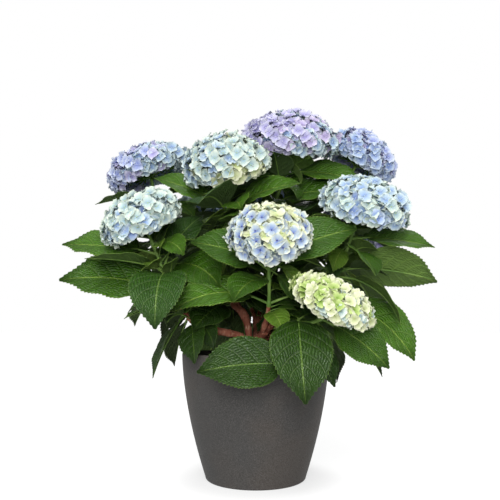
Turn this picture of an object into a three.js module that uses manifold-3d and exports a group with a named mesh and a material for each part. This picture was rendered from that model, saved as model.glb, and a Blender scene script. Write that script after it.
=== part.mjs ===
// A mophead hydrangea in a round tapered pot: pot, compost, woody crown, canes, leafy shoots and
// flower heads. Millimetres, +Z up. The origin is the centre of the pot's flat underside, and -Y is
// the front.

import * as THREE from "three";
import { mergeVertices } from "three/addons/utils/BufferGeometryUtils.js";
import Module from "manifold-3d";

const wasm = await Module();
wasm.setup();

// ---- Driving dimensions -------------------------------------------------------------------------

const pot = {
  height: 190,
  rimRadius: 115,
  baseRadius: 76,
  bulge: 1.66, // power of the side's curve: 1 would be a straight cone
  wall: 4,
  floor: 6,
  footRound: 4,
  sides: 36,
};
const compost = { top: 166, dome: 4 };
const gap = 0.3; // clearance between two pieces that touch

// The woody crown that stands on the compost, and the canes that rise from it, each to its fork.
const crown = { x: -3, y: -8, height: 28, footRadius: 24, topRadius: 15, lean: [1, -2], sides: 10 };
const cane = { footRadius: 4.4, tipRadius: 6.6, footRing: 9.4, sides: 7, steps: 6 };
const caneTips = {
  right: [72, -8, 238],
  back: [4, 56, 230],
  middle: [-24, 0, 256],
  left: [-92, -40, 236],
  front: [14, -48, 224],
};

// A shoot ends in a flower head: the middle of the head, where its face leans to and how far from
// upright, and the head's radius and rise. Its top pair of leaves heads along firstPair, and each pair
// below is turned by a quarter. Angles are in degrees, and a heading is counted from +X towards +Y.
const shoots = {
  front: {
    cane: "front",
    petals: "cream",
    head: [18, -130, 364],
    leanTo: 270,
    lean: 40,
    radius: 64,
    rise: 44,
    firstPair: 180,
  },
  low: {
    cane: "front",
    petals: "cream",
    head: [106, -150, 270],
    leanTo: 300,
    lean: 48,
    radius: 60,
    rise: 42,
    firstPair: 300,
  },
  left: {
    cane: "left",
    petals: "ice",
    head: [-173, -70, 394],
    leanTo: 215,
    lean: 28,
    radius: 66,
    rise: 46,
    firstPair: 165,
  },
  right: {
    cane: "right",
    petals: "ice",
    head: [161, -60, 419],
    leanTo: 300,
    lean: 26,
    radius: 72,
    rise: 46,
    firstPair: 355,
  },
  centre: {
    cane: "middle",
    petals: "ice",
    head: [-50, -30, 486],
    leanTo: 250,
    lean: 24,
    radius: 70,
    rise: 56,
    firstPair: 340,
  },
  top: {
    cane: "middle",
    petals: "lilac",
    head: [54, 50, 548],
    leanTo: 275,
    lean: 12,
    radius: 84,
    rise: 57,
    firstPair: 325,
  },
  far_right: {
    cane: "right",
    petals: "blue",
    head: [188, 90, 526],
    leanTo: 350,
    lean: 34,
    radius: 67,
    rise: 50,
    firstPair: 310,
  },
  far_left: {
    cane: "left",
    petals: "blue",
    head: [-188, 60, 494],
    leanTo: 190,
    lean: 22,
    radius: 74,
    rise: 46,
    firstPair: 190,
  },
  back_left: {
    cane: "back",
    petals: "ice",
    head: [-104, 165, 428],
    leanTo: 120,
    lean: 30,
    radius: 68,
    rise: 48,
    firstPair: 150,
  },
  back: {
    cane: "back",
    petals: "blue",
    head: [44, 196, 440],
    leanTo: 80,
    lean: 28,
    radius: 74,
    rise: 52,
    firstPair: 50,
  },
  back_right: {
    cane: "back",
    petals: "lilac",
    head: [182, 160, 404],
    leanTo: 30,
    lean: 34,
    radius: 66,
    rise: 46,
    firstPair: 20,
  },
};
const shootNames = Object.keys(shoots);
const stem = { footRadius: 2.9, tipRadius: 2.4, sides: 6, steps: 8, footRing: 3.6 };
const pairs = {
  first: 10,
  spacing: 40,
  sizes: [0.82, 0.98, 1.06, 1.06, 1, 0.92],
  lifts: [8, 20, 12, 2, -8, -18],
  least: 12, // how far above its foot a stem bears its last pair
};
const leaf = {
  length: 122,
  stalk: 0.24, // length of the stalk, and half the blade's greatest width, over the blade's length
  halfWidth: 0.34,
  thick: 2,
  stalkRadius: 2,
  fold: 0.22, // how far each edge stands above the midrib, over the half-width
  stations: [0, 0.1, 0.32, 0.58, 0.82, 1],
  room: 1.2, // clearance kept all round while a place is sought
};
// Leaves that grew away from the rule: which twin of which pair from the top, and what it has of its
// own. The stalk's heading and lift are the blade's unless given, and the face turns from up towards
// faceTo by facing.
const ownLeaves = {
  front: {
    "0a": { down: 30, heading: 192, lift: 26, droop: 24, length: 98, faceTo: 262, facing: 1.4 },
    "0b": { down: 22, heading: 343, lift: 14, droop: 20, length: 120, faceTo: 262, facing: 1.5 },
    "1a": { heading: 234, lift: -4, droop: 44, length: 80, faceTo: 262, facing: 0.9 },
    "3b": { down: 95, heading: 290, lift: -8, droop: 55, length: 52, faceTo: 270, facing: 1.2 },
  },
  low: {
    "0a": { down: 52, heading: 268, lift: -40, droop: 44, length: 122, stalkLift: 5, faceTo: 268, facing: 3 },
    "0b": { heading: 345, lift: -28, droop: 18, length: 92, stalkLift: -24, faceTo: 282, facing: 2.6 },
    "1a": {
      heading: 187,
      lift: 3,
      droop: 18,
      length: 118,
      stalkHeading: 244,
      stalkLift: -52,
      stalk: 70,
      faceTo: 268,
      facing: 1.5,
    },
    "1b": { heading: 38, lift: 22, droop: 40, length: 86, faceTo: 290, facing: 0.8 },
  },
  left: {
    "0a": { down: 26, heading: 174, lift: 8, droop: 10, length: 124, faceTo: 262, facing: 0.7 },
    "1a": { heading: 212, lift: 10, droop: 16, length: 98, faceTo: 250, facing: 0 },
    "1b": { heading: 40, lift: 62, droop: 30, length: 98, faceTo: 250, facing: 1.4 },
    "2a": {
      down: 66,
      heading: 268,
      lift: -10,
      droop: 74,
      length: 118,
      stalkLift: 12,
      faceTo: 265,
      facing: 0.8,
    },
    "0b": { down: 14, heading: 100, lift: 14, droop: 40, length: 96, faceTo: 200, facing: 0.3 },
    "2b": { down: 93, heading: 187, lift: 16, droop: 22, length: 140, faceTo: 262, facing: 1.1 },
  },
  top: {
    "0a": { down: 16, heading: 350, lift: 0, droop: 26, length: 112, faceTo: 280, facing: 0.9 },
    "0b": { down: 20, heading: 203, lift: 4, droop: 24, length: 100, faceTo: 270, facing: 1.2 },
    "1a": { down: 44, heading: 30, lift: 32, droop: 26, length: 116, faceTo: 250, facing: 0.7 },
    "1b": { down: 48, heading: 125, lift: 24, droop: 30, length: 112, faceTo: 270, facing: 0.7 },
    "2a": { down: 74, heading: 322, lift: 16, droop: 34, length: 108, faceTo: 280, facing: 1.1 },
  },
  far_right: {
    "0a": { down: 14, heading: 195, lift: 2, droop: 30, length: 96, faceTo: 270, facing: 0.9 },
    "0b": { down: 18, heading: 300, lift: -4, droop: 40, length: 92, faceTo: 290, facing: 0.6 },
  },
  far_left: {
    "0a": { heading: 190, lift: -4, droop: 16, length: 84, faceTo: 200, facing: 0.2 },
    "2b": { heading: 150, lift: 6, droop: 50, length: 116 },
    "4a": { heading: 130, lift: -6, droop: 50, length: 112 },
    "5a": { down: 250, heading: 232, lift: -46, droop: 24, length: 94, faceTo: 190, facing: 1.2 },
  },
  right: {
    "0a": { down: 25, heading: 354, lift: -2, droop: 14, length: 104, faceTo: 290, facing: 0.8 },
    "1a": { down: 76, heading: 355, lift: -2, droop: 16, length: 124, faceTo: 290, facing: -0.9 },
    "3a": { down: 128, heading: 345, lift: -22, droop: 42, length: 124, stalk: 50, faceTo: 290, facing: 1.2 },
  },
  centre: {
    "0a": { down: 36, heading: 340, lift: 26, droop: 24, length: 104, faceTo: 270, facing: 0.8 },
    "0b": { down: 36, heading: 197, lift: 30, droop: 20, length: 108, faceTo: 270, facing: 0.8 },
    "3a": { down: 138, heading: 230, lift: -18, droop: 34, length: 106, faceTo: 250, facing: 1.2 },
    "5a": { down: 186, heading: 222, lift: -30, droop: 20, length: 96, faceTo: 262, facing: 2.4 },
    "5b": { heading: 130, lift: -6, droop: 40, length: 88 },
  },
};
// What a leaf tries in turn when its place is taken: turn, change of lift, and share of its length.
const nudges = [
  [0, 0, 1],
  [0, 12, 1],
  [0, -12, 1],
  [14, 0, 1],
  [-14, 0, 1],
  [14, 14, 0.92],
  [-14, 14, 0.92],
  [28, 0, 0.9],
  [-28, 0, 0.9],
  [0, -28, 0.85],
  [0, 30, 0.8],
  [24, -24, 0.75],
  [-24, -24, 0.75],
  [40, 10, 0.65],
  [-40, 10, 0.65],
];
const head = { under: 0.5, stalk: 12, coreShare: 0.82, coreSides: 9, floretArea: 430 };
const floret = { tip: 24, notch: 18, droop: 5.5, notchDroop: 4.5, rootShare: 0.64 };

// ---- Small helpers ------------------------------------------------------------------------------

const up = new THREE.Vector3(0, 0, 1);
const vec = (p) => new THREE.Vector3(...p);
const { degToRad: radians, lerp, clamp } = THREE.MathUtils;

// A repeatable random number from 0 to 1 for each set of keys, by whole-number arithmetic.
function chance(...keys) {
  let h = 17;
  for (const k of keys) h = (h * 131 + k * 71 + 11) % 10007;
  return ((h * 4099 + 1237) % 10007) / 10007;
}

// The unit direction that heads round the plant by heading and climbs by lift, in degrees.
function direction(heading, lift) {
  const h = radians(heading);
  const e = radians(lift);
  return new THREE.Vector3(Math.cos(e) * Math.cos(h), Math.cos(e) * Math.sin(h), Math.sin(e));
}

// ---- Solids -------------------------------------------------------------------------------------

function solidOf(points, faces) {
  const vertProperties = new Float32Array(points.flatMap((p) => [p.x, p.y, p.z]));
  return new wasm.Manifold(new wasm.Mesh({ numProp: 3, vertProperties, triVerts: new Uint32Array(faces) }));
}

// A closed surface through rings that all have the same number of points, counter-clockwise as seen from the
// last ring, with flat ends. Neighbouring squares are split into triangles along opposite diagonals, so the two
// faces of a thin blade are split alike and never meet, however it bends.
function loft(rings) {
  const n = rings[0].length;
  const points = rings.flat();
  const faces = [];
  for (let r = 0; r + 1 < rings.length; r++)
    for (let i = 0; i < n; i++) {
      const a = r * n + i;
      const b = r * n + ((i + 1) % n);
      if (i % 2 === 0) faces.push(a, b, b + n, a, b + n, a + n);
      else faces.push(a, b, a + n, b, b + n, a + n);
    }
  const last = points.length - n;
  for (let i = 1; i + 1 < n; i++) {
    faces.push(0, i + 1, i);
    faces.push(last, last + i, last + i + 1);
  }
  return solidOf(points, faces);
}

function geometryOf(solid) {
  const m = solid.getMesh();
  const positions = new Float32Array(m.numVert * 3);
  for (let i = 0; i < m.numVert; i++)
    positions.set(m.vertProperties.subarray(i * m.numProp, i * m.numProp + 3), i * 3);
  const geometry = new THREE.BufferGeometry();
  geometry.setAttribute("position", new THREE.BufferAttribute(positions, 3));
  geometry.setIndex(new THREE.BufferAttribute(new Uint32Array(m.triVerts), 1));
  return geometry;
}

// A limb that tapers from footRadius to tipRadius along a curve, with flat ends square to it.
function limb(curve, footRadius, tipRadius, sides, steps) {
  let side = new THREE.Vector3(0, 1, 0);
  const rings = Array.from({ length: steps + 1 }, (_, i) => {
    const t = i / steps;
    const along = curve.getTangent(t);
    side = side.clone().addScaledVector(along, -side.dot(along)).normalize();
    const other = new THREE.Vector3().crossVectors(along, side);
    const radius = lerp(footRadius, tipRadius, t);
    return Array.from({ length: sides }, (_, k) => {
      const a = (2 * Math.PI * k) / sides;
      const p = curve.getPoint(t).addScaledVector(side, radius * Math.cos(a));
      return p.addScaledVector(other, radius * Math.sin(a));
    });
  });
  return loft(rings);
}

function union(solids) {
  return wasm.Manifold.union(solids);
}

// ---- Pot and compost ----------------------------------------------------------------------------

function potRadius(z) {
  return pot.rimRadius - (pot.rimRadius - pot.baseRadius) * Math.pow(1 - z / pot.height, pot.bulge);
}

// The side's profile from one height to another, set inwards, as evenly spaced points.
function sideProfile(from, to, inset, steps) {
  return Array.from({ length: steps + 1 }, (_, i) => {
    const z = lerp(from, to, i / steps);
    return new THREE.Vector2(potRadius(z) - inset, z);
  });
}

const lip = pot.height - 1.5; // where the rim begins to round over
const inside = sideProfile(pot.floor, lip, pot.wall, 2);

function makePot() {
  const foot = potRadius(pot.footRound) - pot.footRound;
  return turned([
    new THREE.Vector2(0, 0),
    new THREE.Vector2(foot, 0),
    ...sideProfile(pot.footRound, lip, 0, 5),
    new THREE.Vector2(pot.rimRadius - 1, pot.height),
    new THREE.Vector2(pot.rimRadius - pot.wall + 1, pot.height),
    ...inside.toReversed(),
    new THREE.Vector2(0, pot.floor),
  ]);
}

// Fills the pot up to its top, which domes a little round the plant.
function makeCompost() {
  const [low, middle, high] = inside;
  const edge = middle.clone().lerp(high, (compost.top - middle.y) / (high.y - middle.y));
  return turned([
    new THREE.Vector2(0, pot.floor + gap),
    new THREE.Vector2(low.x - 2 * gap, pot.floor + gap),
    new THREE.Vector2(middle.x - gap, middle.y),
    new THREE.Vector2(edge.x - gap, edge.y),
    new THREE.Vector2(edge.x * 0.6, compost.top + compost.dome),
    new THREE.Vector2(0, compost.top + compost.dome),
  ]);
}

// A profile of (radius, height) turned round the Z axis, which it starts and ends on.
function turned(profile) {
  const bare = new THREE.LatheGeometry(profile, pot.sides).rotateX(Math.PI / 2);
  bare.deleteAttribute("normal");
  bare.deleteAttribute("uv");
  const merged = mergeVertices(bare, 1e-3);
  const triVerts = new Uint32Array(merged.index.array);
  const vertProperties = new Float32Array(merged.attributes.position.array);
  return new wasm.Manifold(new wasm.Mesh({ numProp: 3, vertProperties, triVerts }));
}

// ---- Crown and canes ----------------------------------------------------------------------------

const crownFoot = vec([crown.x, crown.y, compost.top + compost.dome + gap]);
const crownTop = crownFoot.clone().add(vec([...crown.lean, crown.height]));

function makeCrown() {
  const shares = [0, 0.25, 0.6, 1];
  const points = shares.map((s) => crownFoot.clone().lerp(crownTop, s));
  const radii = shares.map((s) => lerp(crown.topRadius, crown.footRadius, Math.pow(1 - s, 2)));
  return loft(
    points.map((p, i) =>
      Array.from({ length: crown.sides }, (_, k) => {
        const a = (2 * Math.PI * k) / crown.sides;
        return p.clone().add(vec([radii[i] * Math.cos(a), radii[i] * Math.sin(a), 0]));
      }),
    ),
  );
}

// A cane's curve: it rises straight off its place on the crown's top, and turns outwards and up to its fork.
function caneCurve(name) {
  const tip = vec(caneTips[name]);
  const place = (360 / Object.keys(caneTips).length) * Object.keys(caneTips).indexOf(name);
  const foot = crownTop.clone().addScaledVector(direction(place, 0), cane.footRing).add(vec([0, 0, gap]));
  const reach = tip.distanceTo(foot);
  const out = tip.clone().sub(foot).setZ(0).normalize();
  const neck = tip.clone().addScaledVector(out, -reach * 0.22).add(vec([0, 0, -reach * 0.2]));
  return new THREE.CubicBezierCurve3(foot, foot.clone().addScaledVector(up, reach * 0.3), neck, tip);
}

function makeCane(name) {
  return limb(caneCurve(name), cane.footRadius, cane.tipRadius, cane.sides, cane.steps);
}

// ---- Shoots -------------------------------------------------------------------------------------

// The foot of a shoot's stem. Stems that share a cane stand round its tip in the order of their
// headings, so that they fork without crossing.
function stemFoot(shoot) {
  const curve = caneCurve(shoot.cane);
  const fork = curve.getPoint(1);
  const along = curve.getTangent(1);
  const headingOf = ({ head }) => {
    const angle = Math.atan2(head[1] - fork.y, head[0] - fork.x);
    return THREE.MathUtils.euclideanModulo(angle, 2 * Math.PI);
  };
  const mates = Object.values(shoots).filter((s) => s.cane === shoot.cane);
  mates.sort((a, b) => headingOf(a) - headingOf(b));
  const middle = mates.reduce((sum, s) => sum + headingOf(s), 0) / mates.length;
  const place = middle + (mates.indexOf(shoot) - (mates.length - 1) / 2) * ((2 * Math.PI) / mates.length);
  const aside = direction(THREE.MathUtils.radToDeg(place), 0);
  aside.addScaledVector(along, -aside.dot(along)).normalize();
  return { foot: fork.addScaledVector(along, gap).addScaledVector(aside, stem.footRing), along };
}

function stemCurve(shoot) {
  const { foot, along } = stemFoot(shoot);
  const axis = direction(shoot.leanTo, 90 - shoot.lean);
  const below = shoot.rise * head.under + head.stalk + gap;
  const tip = vec(shoot.head).addScaledVector(axis, -below);
  const reach = tip.distanceTo(foot);
  return new THREE.CubicBezierCurve3(
    foot,
    foot.clone().addScaledVector(along, reach * 0.35),
    tip.clone().addScaledVector(axis, -reach * 0.35),
    tip,
  );
}

function makeStem(shoot) {
  return limb(stemCurve(shoot), stem.footRadius, stem.tipRadius, stem.sides, stem.steps);
}

// ---- Leaves -------------------------------------------------------------------------------------

// A point of a leaf's midrib and the way it runs there. share is -1 at the stalk's root, 0 where the
// stalk meets the blade and 1 at the tip; the blade bends down evenly by droop.
function midrib(place, share) {
  const stalkWay = direction(place.stalkHeading, place.stalkLift);
  const p = place.root.clone().addScaledVector(stalkWay, (1 + Math.min(share, 0)) * place.stalk);
  if (share < 0) return { p, along: stalkWay };
  const start = radians(place.lift);
  const bend = radians(place.droop);
  const now = start - bend * share;
  const out = ((Math.sin(start) - Math.sin(now)) * place.length) / bend;
  const rise = ((Math.cos(now) - Math.cos(start)) * place.length) / bend;
  p.addScaledVector(direction(place.heading, 0), out).addScaledVector(up, rise);
  return { p, along: direction(place.heading, THREE.MathUtils.radToDeg(now)) };
}

// Half the blade's width over its length: widest at two fifths, round at the base and drawn out to the tip.
function bladeHalfWidth(share) {
  const peak = Math.pow(0.4, 0.6) * Math.pow(0.6, 0.9);
  return (leaf.halfWidth * Math.pow(share, 0.6) * Math.pow(1 - share, 0.9)) / peak;
}

// A leaf from its stalk's root, or from the share `from` of the stalk, made larger all round by `extra`.
function leafSolid(place, from, extra) {
  const face = up.clone().addScaledVector(direction(place.faceTo, 0), place.facing);
  const ring = (share, halfWidth, thick, fold) => {
    const { p, along } = midrib(place, share);
    const side = new THREE.Vector3().crossVectors(along, face).normalize();
    const normal = new THREE.Vector3().crossVectors(side, along);
    const at = (across, level) => p.clone().addScaledVector(side, across).addScaledVector(normal, level);
    const edge = fold * halfWidth;
    return [at(-halfWidth, edge), at(0, thick / 2), at(halfWidth, edge), at(0, -thick / 2)];
  };
  const stalk = leaf.stalkRadius + extra;
  const rings = [ring(from - 1, stalk, 2 * stalk, 0)];
  for (const share of leaf.stations) {
    const isBlade = share > 0;
    const halfWidth = isBlade ? Math.max(bladeHalfWidth(share) * place.length, 0.8) + extra : stalk;
    rings.push(ring(share, halfWidth, isBlade ? leaf.thick + 2 * extra : 2 * stalk, isBlade ? leaf.fold : 0));
  }
  return loft(rings);
}

// How far below the stem's tip each pair of leaves stands: evenly spaced, with the last one near the foot.
function pairLevels(name) {
  const span = stemCurve(shoots[name]).getLength() - pairs.first - pairs.least;
  const gaps = Math.min(Math.round(span / pairs.spacing), pairs.sizes.length - 1);
  return Array.from({ length: gaps + 1 }, (_, k) => pairs.first + (span * k) / gaps);
}

// Where a leaf would stand by the rule, with what it has of its own.
function leafPlace(name, pair, twin) {
  const shoot = shoots[name];
  const index = shootNames.indexOf(name);
  const curve = stemCurve(shoot);
  const own = ownLeaves[name]?.[pair + "ab"[twin]] ?? {};
  const down = own.down ?? pairLevels(name)[pair];
  const root = curve.getPointAt(1 - down / curve.getLength());
  const random = (key) => chance(index, pair, twin, key) - 0.5;
  const heading = shoot.firstPair + 90 * pair + 180 * twin + 20 * random(0);
  const outward = THREE.MathUtils.radToDeg(Math.atan2(root.y, root.x));
  const outness = Math.cos(radians(heading - outward)); // 1 where it points away from the middle
  const depth = clamp(pair / 3, 0, 1);
  const place = {
    root,
    heading,
    lift: pairs.lifts[pair] - 10 * outness + 12 * random(1),
    droop: 50 + 20 * random(2),
    length: leaf.length * pairs.sizes[pair] * lerp(0.85, 1.05, (outness + 1) / 2),
    faceTo: outward,
    facing: lerp(0.2, 0.9, depth),
    ...own,
  };
  const stalk = leaf.stalk * place.length;
  return { stalkHeading: place.heading, stalkLift: place.lift + 8, stalk, ...place };
}

// What the leaves have to keep clear of, and the shoot that each piece belongs to.
const taken = [];

function boxOf(solid) {
  const { min, max } = solid.boundingBox();
  return new THREE.Box3(vec(min), vec(max));
}

function claim(solid, owner) {
  taken.push({ solid, box: boxOf(solid), owner });
}

function isClearOf(pieces, solid) {
  const box = boxOf(solid);
  return !pieces.some((t) => t.box.intersectsBox(box) && !t.solid.intersect(solid).isEmpty());
}

function nudged(wish, [turn, lift, share]) {
  return {
    ...wish,
    heading: wish.heading + turn,
    stalkHeading: wish.stalkHeading + turn,
    lift: wish.lift + lift,
    stalkLift: wish.stalkLift + lift,
    length: wish.length * share,
  };
}

// Grows one leaf at the first of its places that is free, or none. All of it keeps clear of other
// shoots, and all but the root of its stalk keeps clear of its own.
function growLeaf(name, pair, twin) {
  const wish = leafPlace(name, pair, twin);
  const others = taken.filter((t) => t.owner !== name);
  const mates = taken.filter((t) => t.owner === name);
  for (const nudge of nudges) {
    const place = nudged(wish, nudge);
    const room = leafSolid(place, 0, leaf.room);
    if (!isClearOf(others, room) || !isClearOf(mates, leafSolid(place, 0.5, leaf.room))) continue;
    claim(room, name);
    return [leafSolid(place, 0, 0)];
  }
  return [];
}

// The leaves of all shoots. Those of its own kind are grown first, then the rule's, from the top pairs down.
function growLeaves() {
  const grown = Object.fromEntries(shootNames.map((name) => [name, []]));
  const isOwn = (name, pair, twin) => Boolean(ownLeaves[name]?.[pair + "ab"[twin]]);
  for (const own of [true, false])
    for (let pair = 0; pair < pairs.sizes.length; pair++)
      for (const name of shootNames)
        for (const twin of [0, 1])
          if (pair < pairLevels(name).length && isOwn(name, pair, twin) === own)
            grown[name].push(...growLeaf(name, pair, twin));
  return grown;
}

// ---- Flower heads -------------------------------------------------------------------------------

// A point on a head's dome, and the way out from it: polar is counted from the top, in degrees.
function domePoint(shoot, polar, around) {
  const a = radians(polar);
  const rise = shoot.rise * (polar > 90 ? head.under : 1);
  const flat = direction(around, 0);
  const p = flat.clone().multiplyScalar(shoot.radius * Math.sin(a)).setZ(rise * Math.cos(a));
  const out = flat.multiplyScalar(Math.sin(a) / shoot.radius).setZ(Math.cos(a) / rise).normalize();
  return { p, out };
}

function headCore(shoot, share) {
  const polars = [174, 128, 90, 54, 8];
  return loft(
    polars.map((polar) =>
      Array.from({ length: head.coreSides }, (_, k) =>
        domePoint(shoot, polar, (360 * k) / head.coreSides).p.multiplyScalar(share),
      ),
    ),
  );
}

// One four-sepalled floret at a point of the dome, its root sunk in the core and its sepals bent back.
function floretSolid(at, out, spin) {
  const side = new THREE.Vector3().crossVectors(Math.abs(out.x) > 0.9 ? vec([0, 1, 0]) : vec([1, 0, 0]), out);
  side.normalize().applyAxisAngle(out, spin);
  const other = new THREE.Vector3().crossVectors(out, side);
  const rim = Array.from({ length: 8 }, (_, k) => {
    const a = (Math.PI * k) / 4;
    const [r, back] = k % 2 ? [floret.notch, floret.notchDroop] : [floret.tip, floret.droop];
    const p = at.clone().addScaledVector(out, -back);
    return p.addScaledVector(side, r * Math.cos(a)).addScaledVector(other, r * Math.sin(a));
  });
  const points = [...rim, at.clone(), at.clone().multiplyScalar(floret.rootShare)];
  return solidOf(
    points,
    rim.flatMap((_, k) => [8, k, (k + 1) % 8, 9, (k + 1) % 8, k]),
  );
}

// A head made upright round its middle: a domed core on a stalk, with florets spread evenly over the dome.
function makeHead(name) {
  const shoot = shoots[name];
  const index = shootNames.indexOf(name);
  const below = shoot.rise * head.under;
  const stalkCurve = new THREE.LineCurve3(vec([0, 0, -below - head.stalk]), vec([0, 0, -below * 0.6]));
  const stalk = limb(stalkCurve, stem.tipRadius, 2 * stem.tipRadius, stem.sides, 2);
  const pieces = [headCore(shoot, head.coreShare), stalk];
  const florets = Math.round(shoot.radius ** 2 / head.floretArea);
  for (let k = 0; k < florets; k++) {
    const polar = THREE.MathUtils.radToDeg(Math.acos(1 - (1.28 * (k + 0.5)) / florets));
    const { p, out } = domePoint(shoot, polar, k * 137.5 + 90 * chance(index, 3));
    pieces.push(floretSolid(p, out, chance(index, k) * Math.PI));
  }
  return union(pieces);
}

// Turns what is made upright to where its head stands and the way it leans.
function setOnShoot(solid, shoot) {
  const turn = new THREE.Quaternion().setFromUnitVectors(up, direction(shoot.leanTo, 90 - shoot.lean));
  const matrix = new THREE.Matrix4().compose(vec(shoot.head), turn, vec([1, 1, 1]));
  return solid.transform(matrix.elements);
}

// ---- The plant ----------------------------------------------------------------------------------

function finish(color, roughness) {
  return new THREE.MeshStandardMaterial({ color, roughness, metalness: 0 });
}

const finishes = {
  pot: finish(0x4b4a49, 0.5),
  compost: finish(0x33261c, 1),
  bark: finish(0x96523f, 0.8),
  foliage: finish(0x3d6a2c, 0.5),
  cream: finish(0xe6ecc8, 0.7),
  ice: finish(0xd3e4ea, 0.7),
  blue: finish(0xa9b9e6, 0.7),
  lilac: finish(0xc3b6e2, 0.7),
};

const plant = new THREE.Group();
function add(name, solid, finishName) {
  const mesh = new THREE.Mesh(geometryOf(solid), finishes[finishName].clone());
  mesh.name = name;
  plant.add(mesh);
}

const solids = { pot: makePot(), compost: makeCompost(), woody_crown: makeCrown() };
const caneSolids = Object.fromEntries(Object.keys(caneTips).map((name) => [name, makeCane(name)]));
const stems = Object.fromEntries(shootNames.map((name) => [name, makeStem(shoots[name])]));

for (const solid of [...Object.values(solids), ...Object.values(caneSolids)]) claim(solid, "base");
for (const name of shootNames) {
  claim(stems[name], name);
  claim(setOnShoot(headCore(shoots[name], 1.08), shoots[name]), name);
}
const leaves = growLeaves();

add("pot", solids.pot, "pot");
add("compost", solids.compost, "compost");
add("woody_crown", solids.woody_crown, "bark");
for (const [name, solid] of Object.entries(caneSolids)) add("cane_" + name, solid, "bark");
for (const name of shootNames) {
  add("foliage_" + name, union([stems[name], ...leaves[name]]), "foliage");
  add("flower_head_" + name, setOnShoot(makeHead(name), shoots[name]), shoots[name].petals);
}

export default plant;
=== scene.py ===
# %% [markdown]
# # A potted hydrangea
# A mophead hydrangea is a soft shrub: woody canes at the foot, green shoots above them, pairs of broad
# toothed leaves, and a dome of small four-petalled flowers on every shoot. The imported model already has
# each of these as a plain solid in its right place. This script keeps every place and gives each piece
# the shape and the surface that the eye expects.
# One way to do it would be to sculpt by hand. Here every piece is grown by a rule in code instead, so that
# it can be made again exactly, and so that a change to one number changes the whole plant.

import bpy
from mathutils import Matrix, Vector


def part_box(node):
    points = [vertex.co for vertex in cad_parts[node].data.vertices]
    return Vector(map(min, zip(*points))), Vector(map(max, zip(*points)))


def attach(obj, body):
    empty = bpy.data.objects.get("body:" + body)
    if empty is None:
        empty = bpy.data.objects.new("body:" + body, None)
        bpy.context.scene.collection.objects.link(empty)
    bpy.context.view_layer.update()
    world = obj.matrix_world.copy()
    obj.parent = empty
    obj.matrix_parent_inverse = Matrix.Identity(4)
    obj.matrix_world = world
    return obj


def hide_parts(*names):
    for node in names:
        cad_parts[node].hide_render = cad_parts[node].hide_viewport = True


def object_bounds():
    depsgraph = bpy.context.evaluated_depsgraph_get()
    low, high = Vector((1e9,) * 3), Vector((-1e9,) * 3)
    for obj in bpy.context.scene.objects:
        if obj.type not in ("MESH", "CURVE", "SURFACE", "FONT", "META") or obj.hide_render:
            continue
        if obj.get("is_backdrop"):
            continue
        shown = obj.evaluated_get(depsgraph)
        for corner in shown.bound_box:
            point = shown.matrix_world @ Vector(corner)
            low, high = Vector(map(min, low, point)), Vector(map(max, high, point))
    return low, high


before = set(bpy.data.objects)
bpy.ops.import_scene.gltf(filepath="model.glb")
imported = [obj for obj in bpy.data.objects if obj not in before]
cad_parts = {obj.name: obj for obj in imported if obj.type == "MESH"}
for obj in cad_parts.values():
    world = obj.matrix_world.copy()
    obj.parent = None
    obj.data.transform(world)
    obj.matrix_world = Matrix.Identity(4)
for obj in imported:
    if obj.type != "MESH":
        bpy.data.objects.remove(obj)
solid_low, solid_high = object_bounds()
print("solids:", len(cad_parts), "box from", tuple(solid_low), "to", tuple(solid_high))

# %% [markdown]
# ## Tools used everywhere
# Blender works in metres, and a plant this size is easier to think of in millimetres, so all sizes below
# are in millimetres and are turned into metres where a mesh is made. Numpy makes thousands of points at
# once, which is far quicker than adding vertices one at a time. Random choices come from whole-number
# arithmetic on a few keys, such as the number of the shoot and of the leaf, so every run gives the same.

import bpy
import numpy as np
from mathutils import Vector
from mathutils.bvhtree import BVHTree

MILLIMETRE = 0.001
UP = np.array([0.0, 0.0, 1.0])


def chance(*keys):
    """A repeatable random number from 0 to 1 for each set of whole numbers."""
    h = 17
    for key in keys:
        h = (h * 131 + key * 71 + 11) % 10007
    return ((h * 4099 + 1237) % 10007) / 10007


def between(low, high, *keys):
    """A repeatable random number from low to high."""
    return low + (high - low) * chance(*keys)


def unit(v):
    """The vector, or each of the vectors in an array, at length 1."""
    v = np.asarray(v, float)
    return v / np.linalg.norm(v, axis=-1, keepdims=True)


def direction(heading, lift):
    """The unit direction that heads round the plant by heading and climbs by lift, in degrees."""
    h = np.radians(heading)
    e = np.radians(lift)
    return np.array([np.cos(e) * np.cos(h), np.cos(e) * np.sin(h), np.sin(e)])


def ramp(low, high, value):
    """0 below low, 1 above high, and a smooth rise between."""
    share = np.clip((np.asarray(value, float) - low) / (high - low), 0, 1)
    return share * share * (3 - 2 * share)


def mixed(a, b, share):
    """a where the share is 0, b where it is 1, and evenly between."""
    return a + (b - a) * share


print("helpers ready; a first random number:", round(chance(1, 2, 3), 4))

# %% [markdown]
# ## Grids and batches
# Leaves, petals and stems are all grids of points that are joined into a few large pieces. A batch gathers
# such grids, with a flat map beside each point, and makes one mesh of them at the end. The map matters
# here: every leaf uses the same square of the map, so one pattern of veins serves them all, wherever they
# grow. One Blender object for each leaf would work too, but a thousand flowers would then be a thousand
# objects.

# %% Gather grids into one mesh
MAP_NAME = "OFBake"
TRIANGLES = []  # how many each finished piece has


def grid_faces(rows, columns, wrapped=False):
    """The four-sided faces of a grid whose points are numbered row by row."""
    r, c = np.meshgrid(np.arange(rows - 1), np.arange(columns - (not wrapped)), indexing="ij")
    following = (c + 1) % columns
    here, next_row = r * columns, (r + 1) * columns
    return np.stack([here + c, here + following, next_row + following, next_row + c], -1).reshape(-1, 4)


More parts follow.
